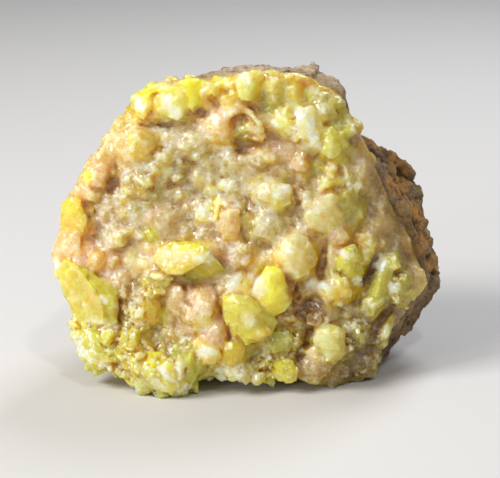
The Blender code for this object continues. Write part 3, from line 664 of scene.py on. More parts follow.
# Sharp clear crystals, drawn the same way.
CLEAR_CRYSTALS = in_threes(
    # top rim
    ("pale", 158, 108, 3, 162, 97, 6, 165, 89, 6, 175, 85, 5, 186, 88, 5, 190, 100, 5, 188, 112, 4,
     178, 120, 3, 168, 118, 3, 170, 100, 13, 181, 97, 14, 180, 108, 12),
    ("gold", 135, 104, 2, 137, 94, 4, 144, 87, 4, 151, 90, 5, 151, 108, 5, 144, 121, 3, 136, 116, 2,
     139, 104, 14, 146, 102, 16),
    ("lemon", 144, 88, 2, 150, 82, 4, 159, 82, 4, 160, 90, 5, 150, 95, 4, 152, 87, 11),
    ("lemon", 184, 92, 3, 188, 80, 5, 198, 78, 5, 203, 90, 4, 201, 106, 3, 192, 112, 3, 191, 90, 12,
     196, 100, 12),
    ("gold", 206, 84, 3, 214, 76, 4, 224, 76, 4, 226, 88, 4, 218, 96, 3, 208, 94, 3, 216, 84, 13),
    ("gold", 224, 88, 3, 230, 76, 4, 238, 80, 4, 238, 98, 4, 230, 106, 3, 223, 100, 3, 231, 90, 12),
    ("pale", 237, 80, 4, 244, 71, 5, 254, 73, 5, 257, 88, 5, 252, 101, 4, 241, 100, 3, 237, 90, 4,
     245, 79, 11, 248, 92, 12),
    ("pale", 256, 78, 3, 261, 71, 4, 270, 72, 4, 270, 81, 4, 260, 84, 4, 264, 77, 9),
    # upper right
    ("pale", 278, 119, 4, 286, 112, 6, 296, 116, 6, 297, 128, 5, 290, 135, 4, 281, 131, 3, 288, 121, 16),
    ("white", 292, 118, 4, 299, 107, 6, 312, 106, 6, 322, 116, 5, 322, 131, 5, 314, 141, 4,
     302, 139, 4, 294, 130, 4, 304, 117, 20, 312, 127, 20),
    ("grey", 301, 141, 4, 310, 134, 6, 320, 138, 6, 321, 150, 4, 312, 156, 3, 303, 152, 3, 312, 144, 16),
    # left side and lower left
    ("gold", 61, 203, 1, 71, 196, 4, 81, 200, 5, 87, 218, 5, 84, 233, 4, 73, 228, 3, 62, 228, 1,
     68, 210, 11, 78, 212, 16),
    ("citrine", 56, 264, 1, 64, 259, 4, 78, 266, 6, 92, 285, 7, 104, 308, 6, 104, 324, 3, 80, 324, 1,
     62, 288, 1, 70, 274, 9, 88, 308, 8),
    ("citrine", 78, 266, 5, 92, 272, 8, 106, 283, 9, 117, 291, 9, 119, 306, 8, 117, 325, 4,
     101, 324, 4, 84, 285, 7, 98, 290, 13, 110, 308, 14),
    ("peach", 88, 258, 4, 92, 251, 6, 103, 251, 6, 106, 262, 5, 101, 269, 4, 91, 268, 4, 97, 258, 14),
    ("acid", 76, 332, 2, 86, 324, 4, 100, 328, 5, 102, 342, 4, 92, 350, 3, 80, 344, 2, 91, 336, 12),
    ("pale", 80, 352, 1, 92, 344, 5, 106, 348, 5, 112, 362, 3, 104, 368, 1, 90, 362, 1, 98, 354, 13),
    ("lemon", 142, 362, 4, 148, 352, 6, 160, 352, 6, 163, 366, 5, 156, 380, 3, 146, 376, 3,
     153, 362, 15),
    ("gold", 142, 303, 3, 150, 298, 5, 161, 301, 5, 163, 317, 4, 154, 325, 3, 144, 318, 3, 153, 308, 13),
    ("acid", 162, 304, 2, 166, 306, 3, 169, 326, 2, 165, 330, 2, 161, 318, 2, 165, 316, 8),
    ("olive", 148, 277, 3, 154, 271, 5, 166, 271, 6, 173, 278, 5, 168, 287, 4, 155, 290, 3,
     158, 278, 12, 166, 280, 12),
    # bottom lobe: a sheaf of long crystals
    ("mist", 136, 374, 3, 148, 366, 8, 160, 370, 10, 168, 386, 8, 160, 394, 4, 146, 388, 3,
     152, 376, 20),
    ("pale", 156, 370, 8, 166, 360, 12, 175, 366, 12, 180, 388, 8, 172, 396, 4, 162, 390, 6,
     168, 376, 26),
    ("mist", 172, 366, 8, 179, 354, 12, 187, 360, 12, 188, 386, 8, 180, 396, 4, 173, 388, 6,
     180, 374, 24),
    ("spring", 183, 366, 6, 190, 352, 10, 198, 358, 8, 198, 378, 6, 190, 390, 3, 184, 382, 5,
     190, 368, 20),
    ("lime", 194, 368, 4, 199, 358, 7, 206, 362, 6, 206, 374, 4, 199, 382, 3, 200, 368, 14),
    # middle
    ("white", 197, 212, 4, 200, 203, 6, 208, 201, 6, 213, 209, 5, 210, 219, 4, 202, 222, 4,
     205, 210, 15),
    ("pale", 211, 206, 3, 216, 196, 5, 223, 199, 5, 222, 213, 3, 214, 217, 3, 217, 205, 13),
    ("white", 112, 236, 3, 117, 229, 5, 124, 232, 5, 126, 240, 4, 119, 244, 3, 119, 235, 12),
    ("white", 126, 254, 3, 130, 248, 5, 135, 252, 4, 134, 259, 3, 128, 260, 3, 130, 254, 10),
    ("acid", 142, 231, 2, 148, 228, 4, 156, 234, 4, 162, 243, 3, 150, 242, 2, 151, 235, 8),
    ("rose", 218, 226, 4, 221, 213, 7, 229, 208, 8, 239, 209, 8, 240, 225, 6, 236, 241, 4, 224, 241, 4,
     228, 216, 18, 232, 230, 17),
    ("olive", 238, 214, 5, 244, 209, 6, 252, 214, 5, 255, 226, 4, 251, 240, 3, 243, 244, 3,
     238, 236, 4, 246, 222, 13),
    ("gold", 152, 258, 5, 158, 248, 9, 170, 242, 13, 188, 241, 17, 203, 244, 20, 211, 252, 23,
     205, 262, 22, 194, 268, 18, 182, 275, 12, 168, 275, 8, 158, 268, 5, 180, 254, 25, 198, 254, 29),
    ("lime", 182, 272, 10, 196, 265, 23, 211, 255, 28, 220, 261, 20, 227, 272, 8, 216, 281, 4,
     200, 283, 3, 186, 280, 3, 208, 270, 22),
    # below the middle
    ("lemon", 266, 267, 12, 274, 265, 10, 281, 269, 12, 288, 284, 12, 292, 300, 9, 286, 311, 7,
     275, 316, 5, 262, 309, 7, 251, 293, 6, 255, 281, 10, 268, 281, 36, 271, 304, 28, 281, 289, 30),
    ("citrine", 223, 301, 5, 232, 293, 9, 250, 295, 13, 266, 307, 14, 279, 322, 7, 272, 335, 6,
     258, 341, 7, 246, 346, 6, 237, 334, 8, 228, 318, 6, 239, 304, 28, 258, 312, 30, 250, 330, 29),
    ("white", 228, 286, 6, 234, 276, 11, 244, 268, 12, 246, 273, 12, 238, 284, 10, 231, 291, 6,
     236, 279, 19),
    ("cream", 192, 342, 4, 198, 337, 7, 206, 341, 8, 220, 348, 8, 222, 357, 6, 215, 364, 4,
     203, 364, 4, 197, 355, 4, 204, 346, 21, 218, 352, 19, 207, 358, 19),
    ("gold", 218, 352, 5, 226, 341, 7, 236, 337, 7, 246, 347, 6, 244, 358, 4, 233, 366, 3, 219, 367, 3,
     233, 349, 16),
    ("acid", 272, 365, 4, 281, 357, 7, 293, 360, 7, 298, 370, 5, 297, 381, 3, 286, 384, 2, 275, 379, 3,
     283, 366, 20, 291, 371, 18),
    ("lime", 266, 341, 4, 274, 332, 7, 288, 331, 7, 299, 338, 5, 289, 349, 4, 273, 354, 3,
     276, 341, 15, 288, 338, 14),
    # lower right
    ("white", 308, 283, 5, 314, 279, 8, 324, 281, 9, 334, 288, 7, 328, 293, 5, 315, 289, 4,
     322, 285, 15),
    ("mist", 313, 342, 5, 314, 330, 7, 321, 324, 9, 337, 324, 9, 345, 332, 7, 347, 348, 6, 342, 359, 4,
     333, 365, 4, 321, 354, 5, 318, 333, 23, 338, 331, 25, 339, 351, 23, 322, 348, 22),
    ("acid", 337, 262, 5, 341, 249, 8, 354, 244, 9, 363, 254, 7, 364, 273, 5, 360, 286, 4, 348, 283, 4,
     340, 273, 4, 346, 255, 23, 356, 260, 24, 353, 275, 19),
    ("lime", 370, 286, 4, 377, 269, 6, 384, 259, 6, 393, 268, 5, 390, 287, 4, 383, 303, 3, 375, 313, 3,
     365, 305, 3, 382, 273, 21, 376, 295, 20),
    ("lime", 392, 289, 3, 400, 279, 5, 410, 281, 4, 409, 291, 3, 398, 297, 2, 401, 286, 14),
    ("olive", 380, 333, 2, 386, 320, 4, 393, 312, 4, 394, 322, 3, 388, 337, 2, 381, 342, 1,
     387, 326, 12),
    ("lime", 350, 336, 4, 356, 326, 6, 366, 326, 6, 368, 338, 4, 360, 348, 3, 351, 346, 3, 359, 335, 14),
)
# Frosted lumps of the middle and the rims: tint, x and y in the view, width,
# height and turn there, and rise above the crust in tenths of a millimetre.
FROSTED_LUMPS = [(*row[:6], row[6] / 10.0) for row in (
    ("white", 166, 157, 14, 14, 0, 11), ("sugar", 170, 137, 20, 17, 10, 9),
    ("white", 155, 168, 16, 13, 20, 11), ("grey", 177, 177, 20, 14, -20, 13),
    ("grey", 147, 183, 17, 15, 0, 12), ("sugar", 128, 179, 13, 15, 0, 10),
    ("pale", 127, 191, 11, 10, 0, 9), ("gold", 138, 190, 13, 22, 10, 5),
    ("white", 180, 195, 15, 12, 0, 11), ("olive", 188, 161, 17, 10, -10, 3),
    ("white", 197, 176, 14, 17, 10, 12), ("sugar", 187, 146, 20, 14, 10, 9),
    ("tan", 201, 148, 16, 13, 0, 7), ("white", 197, 157, 7, 7, 0, 13), ("pale", 213, 188, 22, 20, 0, 10),
    ("grey", 232, 187, 24, 24, 0, 11), ("cream", 226, 203, 20, 10, 10, 10),
    ("grey", 237, 162, 38, 17, 8, 13), ("cream", 270, 158, 18, 12, 0, 8),
    ("pink", 298, 150, 12, 15, 0, 11), ("cream", 264, 150, 12, 11, 0, 10),
    ("white", 285, 172, 16, 8, 15, 10), ("gold", 288, 190, 13, 18, 0, 14),
    ("white", 288, 221, 10, 19, -15, 9), ("white", 185, 229, 11, 15, 0, 9),
    ("tan", 205, 232, 24, 20, 0, 9), ("tan", 222, 247, 18, 13, 0, 6), ("white", 243, 247, 13, 11, 0, 8),
    ("sugar", 255, 240, 16, 14, 0, 7), ("grey", 210, 168, 16, 14, 0, 8),
    ("olive", 318, 165, 32, 20, 20, 10), ("white", 331, 172, 13, 20, 20, 14),
    ("white", 346, 172, 8, 26, -15, 15), ("tan", 302, 178, 18, 22, 20, 8),
    ("grey", 306, 195, 20, 14, -10, 9), ("white", 307, 203, 12, 6, 0, 12),
    # the peach rim on the left
    ("peach", 118, 126, 15, 28, 35, 9), ("honey", 110, 137, 16, 20, 35, 6),
    ("cream", 113, 151, 19, 15, 0, 10), ("pink", 100, 157, 13, 14, 0, 10),
    ("lemon", 87, 177, 11, 13, 0, 16), ("peach", 97, 169, 22, 13, 10, 12),
    ("peach", 80, 190, 17, 16, 30, 10), ("cream", 121, 151, 15, 12, 0, 9),
    ("honey", 70, 206, 14, 20, 20, 7), ("cream", 92, 196, 16, 12, 0, 8), ("pink", 150, 181, 10, 12, 0, 6),
    ("cream", 133, 150, 13, 10, 0, 12), ("gold", 90, 212, 14, 26, 5, 7),
    ("sugar", 122, 214, 18, 16, 0, 8), ("tan", 132, 200, 16, 12, 0, 6), ("white", 142, 236, 10, 8, 0, 9),
    ("cream", 128, 232, 16, 8, -15, 11), ("cream", 150, 248, 14, 10, 20, 9),
    ("pink", 88, 248, 14, 22, 0, 8), ("pink", 113, 262, 18, 24, 20, 10),
    ("peach", 97, 259, 17, 19, 0, 13), ("white", 119, 236, 13, 11, 0, 12),
    ("tan", 120, 284, 16, 16, 0, 6), ("cream", 160, 277, 26, 12, 10, 11),
    # the arch over the amber hollow
    ("peach", 224, 128, 22, 28, 10, 12), ("cream", 212, 138, 22, 9, 10, 12),
    *(("pink", x, y, 10, 10, 0, 19) for x, y in (
        (231, 115), (236, 112), (241, 111), (246, 111), (251, 114), (255, 119),
        (259, 124), (261, 130), (262, 136), (260, 140), (255, 139))),
    # the top rim
    ("gold", 152, 86, 15, 9, 15, 8), ("cream", 167, 88, 18, 11, 10, 8), ("lemon", 193, 82, 28, 13, 5, 10),
    ("gold", 214, 88, 20, 16, 0, 8), ("peach", 206, 92, 16, 22, 0, 7), ("gold", 226, 99, 24, 17, 0, 10),
    ("pale", 250, 83, 24, 26, 0, 6), ("peach", 235, 84, 18, 22, 0, 8), ("gold", 261, 90, 20, 34, 0, 9),
    ("olive", 276, 92, 24, 38, 0, 7), ("honey", 192, 113, 26, 12, 0, 5), ("tan", 162, 116, 18, 12, 0, 4),
    ("honey", 298, 77, 36, 14, 12, 3), ("tan", 326, 92, 32, 14, 25, 3),
    ("olive", 330, 105, 26, 28, 20, 6), ("cream", 204, 104, 14, 16, 0, 8),
    ("lemon", 177, 92, 30, 14, 0, 6), ("gold", 158, 104, 16, 30, 0, 5), ("lime", 184, 114, 18, 12, 0, 5),
    ("peach", 226, 80, 22, 12, -15, 2), ("gold", 240, 77, 22, 13, -10, 2),
    ("pale", 254, 74, 20, 13, 0, 3), ("olive", 272, 74, 28, 14, 0, 2), ("gold", 290, 76, 28, 13, 5, 2),
    ("honey", 307, 80, 26, 13, 15, 1), ("tan", 322, 89, 26, 13, 30, 1), ("tan", 336, 103, 26, 12, 45, 1),
    # below and to the right
    ("white", 340, 304, 12, 9, 0, 10), ("grey", 334, 314, 13, 11, 0, 9), ("grey", 346, 315, 12, 10, 0, 9),
    ("white", 357, 323, 11, 9, 0, 12), ("white", 350, 331, 12, 8, 0, 11),
    ("pale", 372, 247, 10, 15, 25, 14), ("white", 383, 243, 7, 12, 0, 15),
    ("cream", 285, 318, 22, 9, 5, 12), ("tan", 372, 360, 22, 26, 30, 8),
    ("honey", 345, 293, 20, 17, 0, 10), ("olive", 392, 262, 22, 22, 0, 8),
    ("tan", 382, 205, 18, 40, -15, 5), ("olive", 358, 208, 22, 44, 0, 9),
    ("honey", 362, 240, 18, 22, 0, 6), ("grey", 258, 378, 22, 13, 0, 12),
    ("grey", 236, 374, 24, 14, 0, 12), ("olive", 205, 372, 16, 12, 0, 8),
    ("gold", 258, 334, 34, 17, -10, 12), ("lime", 300, 345, 8, 20, 10, 10),
    ("cream", 309, 380, 16, 9, 0, 9),
)]
# Touches of another tint: x and y in the view, width, height and turn there,
# and strength in percent. The snow-white ones are painted glints and highlights.
# The amber and brown ones are painted shade in clefts and hollows, and they also
# sink into clefts.
TOUCHES = [(tint, row[:5], row[5] / 100.0) for tint, *rows in (
    ("snow", (258, 286, 14, 20, 10, 85), (250, 321, 16, 10, -30, 50), (234, 283, 8, 16, -35, 90),
     (139, 103, 7, 14, 20, 90), (166, 102, 10, 14, 0, 90), (176, 114, 9, 10, 0, 80),
     (206, 210, 13, 18, 0, 90), (313, 134, 10, 26, 20, 90), (291, 131, 8, 8, 0, 90),
     (282, 191, 18, 11, 20, 70), (345, 254, 14, 8, -20, 80), (358, 282, 9, 7, 0, 80),
     (381, 263, 7, 16, -20, 90), (393, 287, 11, 9, 30, 80), (318, 285, 22, 8, 10, 80),
     (206, 352, 16, 12, 0, 70), (206, 258, 20, 11, 10, 80), (56, 266, 9, 12, 0, 80),
     (104, 299, 7, 7, 0, 80), (82, 350, 7, 24, 30, 80), (99, 364, 26, 6, -20, 70),
     (110, 328, 20, 6, 0, 60), (168, 377, 24, 5, -40, 90), (160, 385, 18, 5, -40, 80),
     (184, 389, 16, 5, 15, 90), (180, 370, 4, 20, 8, 60), (222, 374, 12, 12, 0, 60),
     (240, 374, 14, 12, 0, 60), (197, 157, 7, 7, 0, 90), (386, 331, 5, 12, -20, 70),
     (350, 326, 10, 7, 0, 70), (244, 78, 12, 14, 0, 60), (216, 120, 8, 10, 0, 60),
     (325, 108, 8, 12, 30, 60)),
    # the amber touches here and the brown ones below are painted shade in clefts and hollows
    ("amber", (247, 144, 26, 19, 0, 85), (112, 184, 14, 16, 0, 80), (322, 262, 9, 38, -8, 90),
     (119, 306, 5, 34, 0, 70), (156, 152, 18, 8, 35, 70), (189, 161, 15, 8, 0, 70),
     (196, 112, 24, 7, 0, 70), (170, 184, 9, 16, 0, 60), (141, 200, 18, 6, 0, 70),
     (250, 206, 8, 24, 0, 70), (299, 196, 8, 22, -15, 70), (187, 298, 7, 24, 20, 70),
     (246, 232, 10, 22, 0, 50), (180, 175, 20, 5, 0, 40), (217, 152, 20, 4, 0, 50),
     (130, 291, 7, 20, 0, 70), (262, 245, 20, 5, -25, 40)),
    ("lemon", (277, 287, 22, 38, 15, 95), (268, 270, 18, 10, 0, 90), (88, 178, 11, 14, 0, 90),
     (145, 98, 10, 14, 0, 60), (70, 208, 10, 16, 0, 40), (247, 286, 8, 14, 0, 50),
     (150, 84, 14, 7, 0, 70), (196, 82, 20, 10, 0, 70), (222, 82, 14, 10, 0, 60),
     (216, 208, 9, 20, 0, 70), (240, 344, 20, 14, 0, 40)),
    ("brown", (167, 125, 18, 6, 0, 70), (150, 125, 18, 4, 0, 50), (384, 316, 10, 40, -28, 70),
     (355, 140, 10, 8, 0, 80), (358, 302, 10, 10, 0, 50), (352, 372, 30, 10, 15, 40),
     (368, 345, 10, 26, -25, 50)),
    ("white", (304, 118, 22, 14, 0, 70), (212, 276, 18, 8, 0, 50), (203, 321, 16, 14, 0, 80),
     (317, 335, 9, 16, 0, 50), (340, 332, 8, 14, 20, 50), (330, 356, 18, 7, 0, 40)),
    ("gold", (306, 262, 9, 34, 10, 50), (157, 142, 8, 18, 0, 70), (124, 209, 10, 20, 0, 70),
     (252, 188, 7, 18, 0, 70), (350, 232, 10, 16, 0, 70)),
    ("acid", (206, 270, 30, 9, 22, 80), (148, 232, 16, 8, 20, 80), (283, 178, 9, 7, 0, 80),
     (358, 270, 12, 18, 0, 60), (165, 317, 5, 24, 0, 80)),
    # more painted shade: amber and brown in clefts and hollows
    ("amber", (100, 191, 20, 6, -10, 60), (293, 292, 10, 34, 12, 85), (218, 298, 6, 26, 18, 90),
     (230, 331, 6, 20, 18, 85), (349, 345, 6, 20, 0, 60)),
    ("brown", (311, 310, 24, 24, 0, 80), (371, 271, 8, 30, -28, 90), (305, 337, 12, 22, 0, 80),
     (300, 352, 8, 26, 10, 60), (345, 370, 64, 24, 15, 35)),
    ("honey", (312, 80, 70, 14, -25, 60)),
    ("peach", (92, 296, 6, 46, 30, 50)),
    ("cream", (74, 298, 10, 7, 0, 60), (74, 270, 24, 4, -45, 50)),
    ("peach", (84, 303, 12, 8, 0, 40)),
    ("snow", (97, 322, 22, 5, 0, 60)),
    ("horn", (176, 256, 42, 15, 10, 75)),
    ("lemon", (190, 247, 34, 7, 8, 90)),
    ("pale", (332, 144, 14, 20, 0, 40)),
    ("spring", (96, 342, 26, 26, 0, 60)),
    ("olive", (243, 131, 16, 26, -10, 80)),
    ("gold", (228, 143, 18, 8, 0, 60), (338, 336, 12, 26, 0, 30)),
    ("tan", (372, 178, 22, 76, 20, 60)),
    ("brown", (388, 200, 14, 70, 25, 50), (365, 335, 30, 46, -25, 30)),
) for row in rows]

# What grows in each kind of place. Of the body's lumps, and then of what grows
# over them: their widths, how many of them take, and how much of their width
# stands out. Then the share of rounded ones over the body, and how it sparkles:
# how sharp and faceted its skin stays, and how many painted white glints it gets.
Habit = namedtuple("Habit", "lumps lump_share lump_stands grown grown_share stands rounded sparkling")
HABITS = {
    "sugar": Habit((1.8, 3.4), 0.7, 0.30, (0.7, 1.2), 0.06, 0.25, 0.8, 0.6),
    "druse": Habit((1.6, 3.0), 0.7, 0.30, (0.9, 2.6), 1.0, 0.26, 0.0, 1.0),
    "smooth": Habit((3.0, 5.0), 0.6, 0.18, (1.2, 3.0), 0.03, 0.12, 0.5, 0.2),
    "flat": Habit((3.0, 5.0), 0.1, 0.18, (1.0, 2.0), 0.01, 0.10, 0.5, 0.1),
}
BODY_LUMPS = 380
GROWN_CRYSTALS = 1500
TRIES_EACH = 8
# places are sought among those in squares of this size, and none on the back
NEARBY = 3.0 * MM
FACING_BACK = 0.75
# how near each other they stand, and how much of its own shade each keeps of its place's tint
SPACING = 0.7
LUMP_OWN_SHARE = 0.8
GROWN_OWN_SHARE = 0.4
SEEDS = {"drawn": 7, "body": 11, "skin": 5}

# Facet directions of a sulfur crystal: steep pyramids, and two sets of prisms.
AXIS_LENGTHS = (0.8131, 1.0, 1.9034)
FACETS = ((1, 1, 1), (0, 1, 1), (1, 1, 0))
FACET_REACH = 0.98
BLANKS_EACH = 14
# how deep the root of a drawn crystal goes, how much narrower it is, how much of
# its drawn rise it keeps and how far it is then set down, and how flat a face is
BURIED = 2.6
ROOT_SHARE = 0.8
RISE_SHARE = 0.68
SET_DOWN = 0.22
ONE_FACE = 0.12
# no drawn crystal reaches further than this from its middle, in pixels
WIDEST_REACH = 60.0
# the middle of the specimen in the view; a lump past the rim is hung from nearer to it
MIDDLE_X, MIDDLE_Y = 254.0, 230.0
INWARD = 0.08
# how wide the teeth of a torn edge are, and how many pixels they reach
TOOTH_WIDTH = 1.3 * MM
TOOTH_REACH = 4.0
# how far a zone's tint and dust reach, and how sharp they are in its middle
BLEND_REACH = 0.75
BLEND_FLOOR = 0.05
# how deep a cleft goes for each pixel of its width, and at most, in millimetres
CLEFT_SLOPE = 0.05
DEEPEST_CLEFT = 0.9


def facet_normals(form):
    """Every facet of one form, as directions."""
    found = set()
    for signs in range(8):
        flips = [-1 if signs >> axis & 1 else 1 for axis in range(3)]
        found.add(tuple(flips[axis] * form[axis] for axis in range(3)))
    return [
        Vector([facet[axis] / AXIS_LENGTHS[axis] for axis in range(3)]).normalized()
        for facet in sorted(found)
    ]


def cut_facet(bm, point, normal):
    """Slices off what lies beyond a plane and closes the cut."""
    geometry = bm.verts[:] + bm.edges[:] + bm.faces[:]
    cut = bmesh.ops.bisect_plane(
        bm, geom=geometry, plane_co=point, plane_no=normal, clear_outer=True)
    rim = [item for item in cut["geom_cut"] if isinstance(item, bmesh.types.BMEdge)]
    if rim:
        bmesh.ops.edgeloop_fill(bm, edges=rim)


def crystal_blank(shape, dice):
    """One crystal of unit half size as a mesh, with +Y pointing out of the crust."""
    bm = bmesh.new()
    if shape == "block":
        bmesh.ops.create_cube(bm, size=2.2)
        for form in FACETS:
            for normal in facet_normals(form):
                if dice.random() < 0.8:
                    cut_facet(bm, normal * FACET_REACH * dice.uniform(0.78, 1.1), normal)
        odd_cuts = 3
    else:
        bmesh.ops.create_icosphere(bm, subdivisions=1, radius=1.06)
        odd_cuts = 5
    for number in range(odd_cuts):
        normal = Vector([dice.uniform(-1, 1) for axis in range(3)]).normalized()
        cut_facet(bm, normal * dice.uniform(0.8, 0.98), normal)
    lean = Matrix.Rotation(dice.uniform(-0.8, 0.8), 3, "X")
    spin = Matrix.Rotation(dice.uniform(-0.5, 0.5), 3, "Z")
    bmesh.ops.transform(bm, matrix=(spin @ lean).to_4x4(), verts=bm.verts)
    bmesh.ops.recalc_face_normals(bm, faces=bm.faces)
    return mesh_of(bm, "crystal_" + shape)


def stand_on(point, outward, size, proud, turn, tip):
    """Where a crystal goes: buried in the crust but for what stands proud."""
    side = sight_up.cross(outward).normalized()
    basis = Matrix((side, outward, side.cross(outward))).transposed()
    turned = Matrix.Rotation(math.radians(turn), 3, "Y") @ Matrix.Rotation(tip, 3, "X")
    half = Matrix.Diagonal(Vector(size) * 0.5 * MM)
    centre = point + outward * (proud - size[1] / 2.0) * MM
    return Matrix.Translation(centre) @ (basis @ turned @ half).to_4x4()


class Growth:
    """Crystals put together in one mesh, with the tint of each."""

    def __init__(self):
        self.bm = bmesh.new()
        self.counts = []
        self.tints = []

    def add(self, blank, place, tint):
        crystal = blank.copy()
        crystal.transform(place)
        self.bm.from_mesh(crystal)
        self.counts.append(len(crystal.polygons))
        self.tints.append(tint)
        bpy.data.meshes.remove(crystal)

    def face_tints(self):
        """The tint of every face."""
        return np.repeat(np.array(self.tints), self.counts, axis=0)


def middle_of(corners):
    """The middle of some corners in the view."""
    across = sum(corner[0] for corner in corners) / len(corners)
    down = sum(corner[1] for corner in corners) / len(corners)
    return across, down


def crust_plane(tree, corners):
    """A plane through the crust under a crystal: depth at the middle and its slopes."""
    middle_x, middle_y = middle_of(corners)
    rows = []
    depths = []
    for x, y, rise in corners:
        x = middle_x + (x - middle_x) * ROOT_SHARE
        y = middle_y + (y - middle_y) * ROOT_SHARE
        hit = tree.ray_cast(eye, sight_line(x, y))[0]
        if hit is not None:
            rows.append((1.0, x - middle_x, y - middle_y))
            depths.append((hit - eye).dot(sight))
    depths = np.array(depths)
    rows = np.array(rows)
    slack = np.diag((0.0, 6.0, 6.0))
    return np.linalg.solve(rows.T @ rows + slack, rows.T @ depths)


def drawn_crystal(tree, corners):
    """A crystal from its corners in the view, with its root buried in the crust."""
    middle_x, middle_y = middle_of(corners)
    plane = crust_plane(tree, corners)
    bm = bmesh.new()
    for x, y, rise in corners:
        depth = plane[0] + plane[1] * (x - middle_x) + plane[2] * (y - middle_y)
        line = sight_line(x, y)
        along = 1.0 / line.dot(sight)
        bm.verts.new(eye + line * (depth - (rise * RISE_SHARE - SET_DOWN) * MM) * along)
        root_x = middle_x + (x - middle_x) * ROOT_SHARE
        root_y = middle_y + (y - middle_y) * ROOT_SHARE
        line = sight_line(root_x, root_y)
        along = 1.0 / line.dot(sight)
        bm.verts.new(eye + line * (depth + BURIED * MM) * along)
    made = bmesh.ops.convex_hull(bm, input=bm.verts[:])
    inside = made["geom_interior"] + made["geom_unused"]
    spare = {item for item in inside if isinstance(item, bmesh.types.BMVert)}
    bmesh.ops.delete(bm, geom=list(spare), context="VERTS")
    bmesh.ops.dissolve_limit(bm, angle_limit=ONE_FACE, verts=bm.verts[:], edges=bm.edges[:])
    bmesh.ops.recalc_face_normals(bm, faces=bm.faces)
    return mesh_of(bm, "drawn_crystal")


def frosted_lump(tree, x, y, width, height, turn, rise):
    """Where a rounded lump goes, from its place and size in the view."""
    hit = tree.ray_cast(eye, sight_line(x, y))[0]
    if hit is None:
        line = sight_line(x + (MIDDLE_X - x) * INWARD, y + (MIDDLE_Y - y) * INWARD)
        hit = tree.ray_cast(eye, line)[0] or eye + line * EYE_DISTANCE
        hit = eye + sight_line(x, y) * (hit - eye).length
    scale = (hit - eye).dot(sight) / FOCAL_PIXELS / 2.0
    deep = (width + height) * 0.5 * scale
    basis = Matrix((sight_right, -sight, sight_up)).transposed()
    spun = Matrix.Rotation(math.radians(turn), 3, "Y")
    half = Matrix.Diagonal(Vector((width * scale, deep, height * scale)))
    centre = hit - sight * (rise * MM - deep)
    return Matrix.Translation(centre) @ (basis @ spun @ half).to_4x4()


def stepped(crystal, dice):
    """Where a twin of a drawn crystal goes: smaller, a little turned, shifted and raised."""
    points = points_of(crystal)
    middle = Vector(points.mean(axis=0))
    reach = float(np.abs((points - points.mean(axis=0)) @ np.array(sight_right)).max())
    angle = dice.uniform(0.0, 2.0 * math.pi)
    shift = sight_right * math.cos(angle) + sight_up * math.sin(angle)
    shift = shift * reach * dice.uniform(0.2, 0.4) - sight * dice.uniform(0.0, 0.25) * MM
    turn = Matrix.Rotation(dice.uniform(-0.5, 0.5), 4, sight)
    tip = Matrix.Rotation(dice.uniform(-0.2, 0.2), 4, sight_right)
    scale = Matrix.Scale(dice.uniform(0.6, 0.8), 4)
    return Matrix.Translation(middle + shift) @ turn @ tip @ scale @ Matrix.Translation(-middle)


def varied(tint, dice, amount=0.14):
    """One crystal's own shade of a tint."""
    light = 1.0 + dice.uniform(-amount, amount)
    warm = dice.uniform(-amount, amount) * 0.5
    red, green, blue = TINTS[tint]
    return (red * light * (1.0 + warm), green * light, blue * light * (1.0 - warm))


def own_tint(zone, dice, share):
    """One of a zone's tints, partly drawn to that of its body."""
    own = np.array(varied(dice.choice(zone.tints), dice))
    return tuple(own * share + np.array(TINTS[zone.body]) * (1.0 - share))


def zone_of(x, y, dice):
    """The zone that a place in the view belongs to, with a ragged border."""
    def away(zone):
        return math.hypot(x - zone.x, y - zone.y) / zone.reach + dice.uniform(0.0, 0.3)
    return min(ZONES, key=away)


def zone_blend(points, values):
    """What the zones give at each point, blended: one row of numbers for each zone."""
    x, y = in_view(points)
    total = np.zeros((len(points), 1))
    mixed = np.zeros((len(points), len(values[0])))
    for zone, value in zip(ZONES, values):
        away = ((x - zone.x) ** 2 + (y - zone.y) ** 2) / (zone.reach * BLEND_REACH) ** 2
        share = (1.0 / (BLEND_FLOOR + away) ** 2)[:, None]
        total += share
        mixed += share * np.array(value)
    return mixed / total


def ragged_view(points):
    """Where points fall in the view, pushed about a little so that what is laid there has a torn edge."""
    push = np.array([noise.noise_vector(Vector(point) / TOOTH_WIDTH) for point in points])
    x, y = in_view(points)
    return x + push[:, 0] * TOOTH_REACH, y + push[:, 2] * TOOTH_REACH


def touched_up(points, tints):
    """Tints with the touches laid over them, and how much painted glint each point has."""
    x, y = ragged_view(points)
    snow = np.zeros(len(points))
    for tint, oval, strength in TOUCHES:
        share = strength * touch(x, y, oval)
        if tint == "snow":
            snow = np.maximum(snow, share)
        tints = tints + share[:, None] * (np.array(TINTS[tint]) - tints)
    return tints, snow


def cleft_depth(points, normals):
    """How far the amber and brown touches sink the front of the crust, in millimetres."""
    x, y = ragged_view(points)
    depth = np.zeros(len(points))
    for tint, oval, strength in TOUCHES:
        if tint in ("amber", "brown"):
            deepest = strength * min(DEEPEST_CLEFT, CLEFT_SLOPE * min(oval[2:4]))
            depth = np.maximum(depth, deepest * touch(x, y, oval))
    return depth * np.clip(0.5 - normals @ np.array(sight) * 1.5, 0.0, 1.0)


def is_kept_clear(point, x, y):
    """Whether a point on the front lies under a drawn crystal or inside the arch."""
    for middle_x, middle_y, outline in OUTLINES:
        if abs(x - middle_x) < WIDEST_REACH and abs(y - middle_y) < WIDEST_REACH:
            turns = [
                (bx - ax) * (y - ay) - (by - ay) * (x - ax)
                for (ax, ay), (bx, by) in zip(outline, outline[1:] + outline[:1])
            ]
            if all(turn > 0.0 for turn in turns) or all(turn < 0.0 for turn in turns):
                return True
    return False


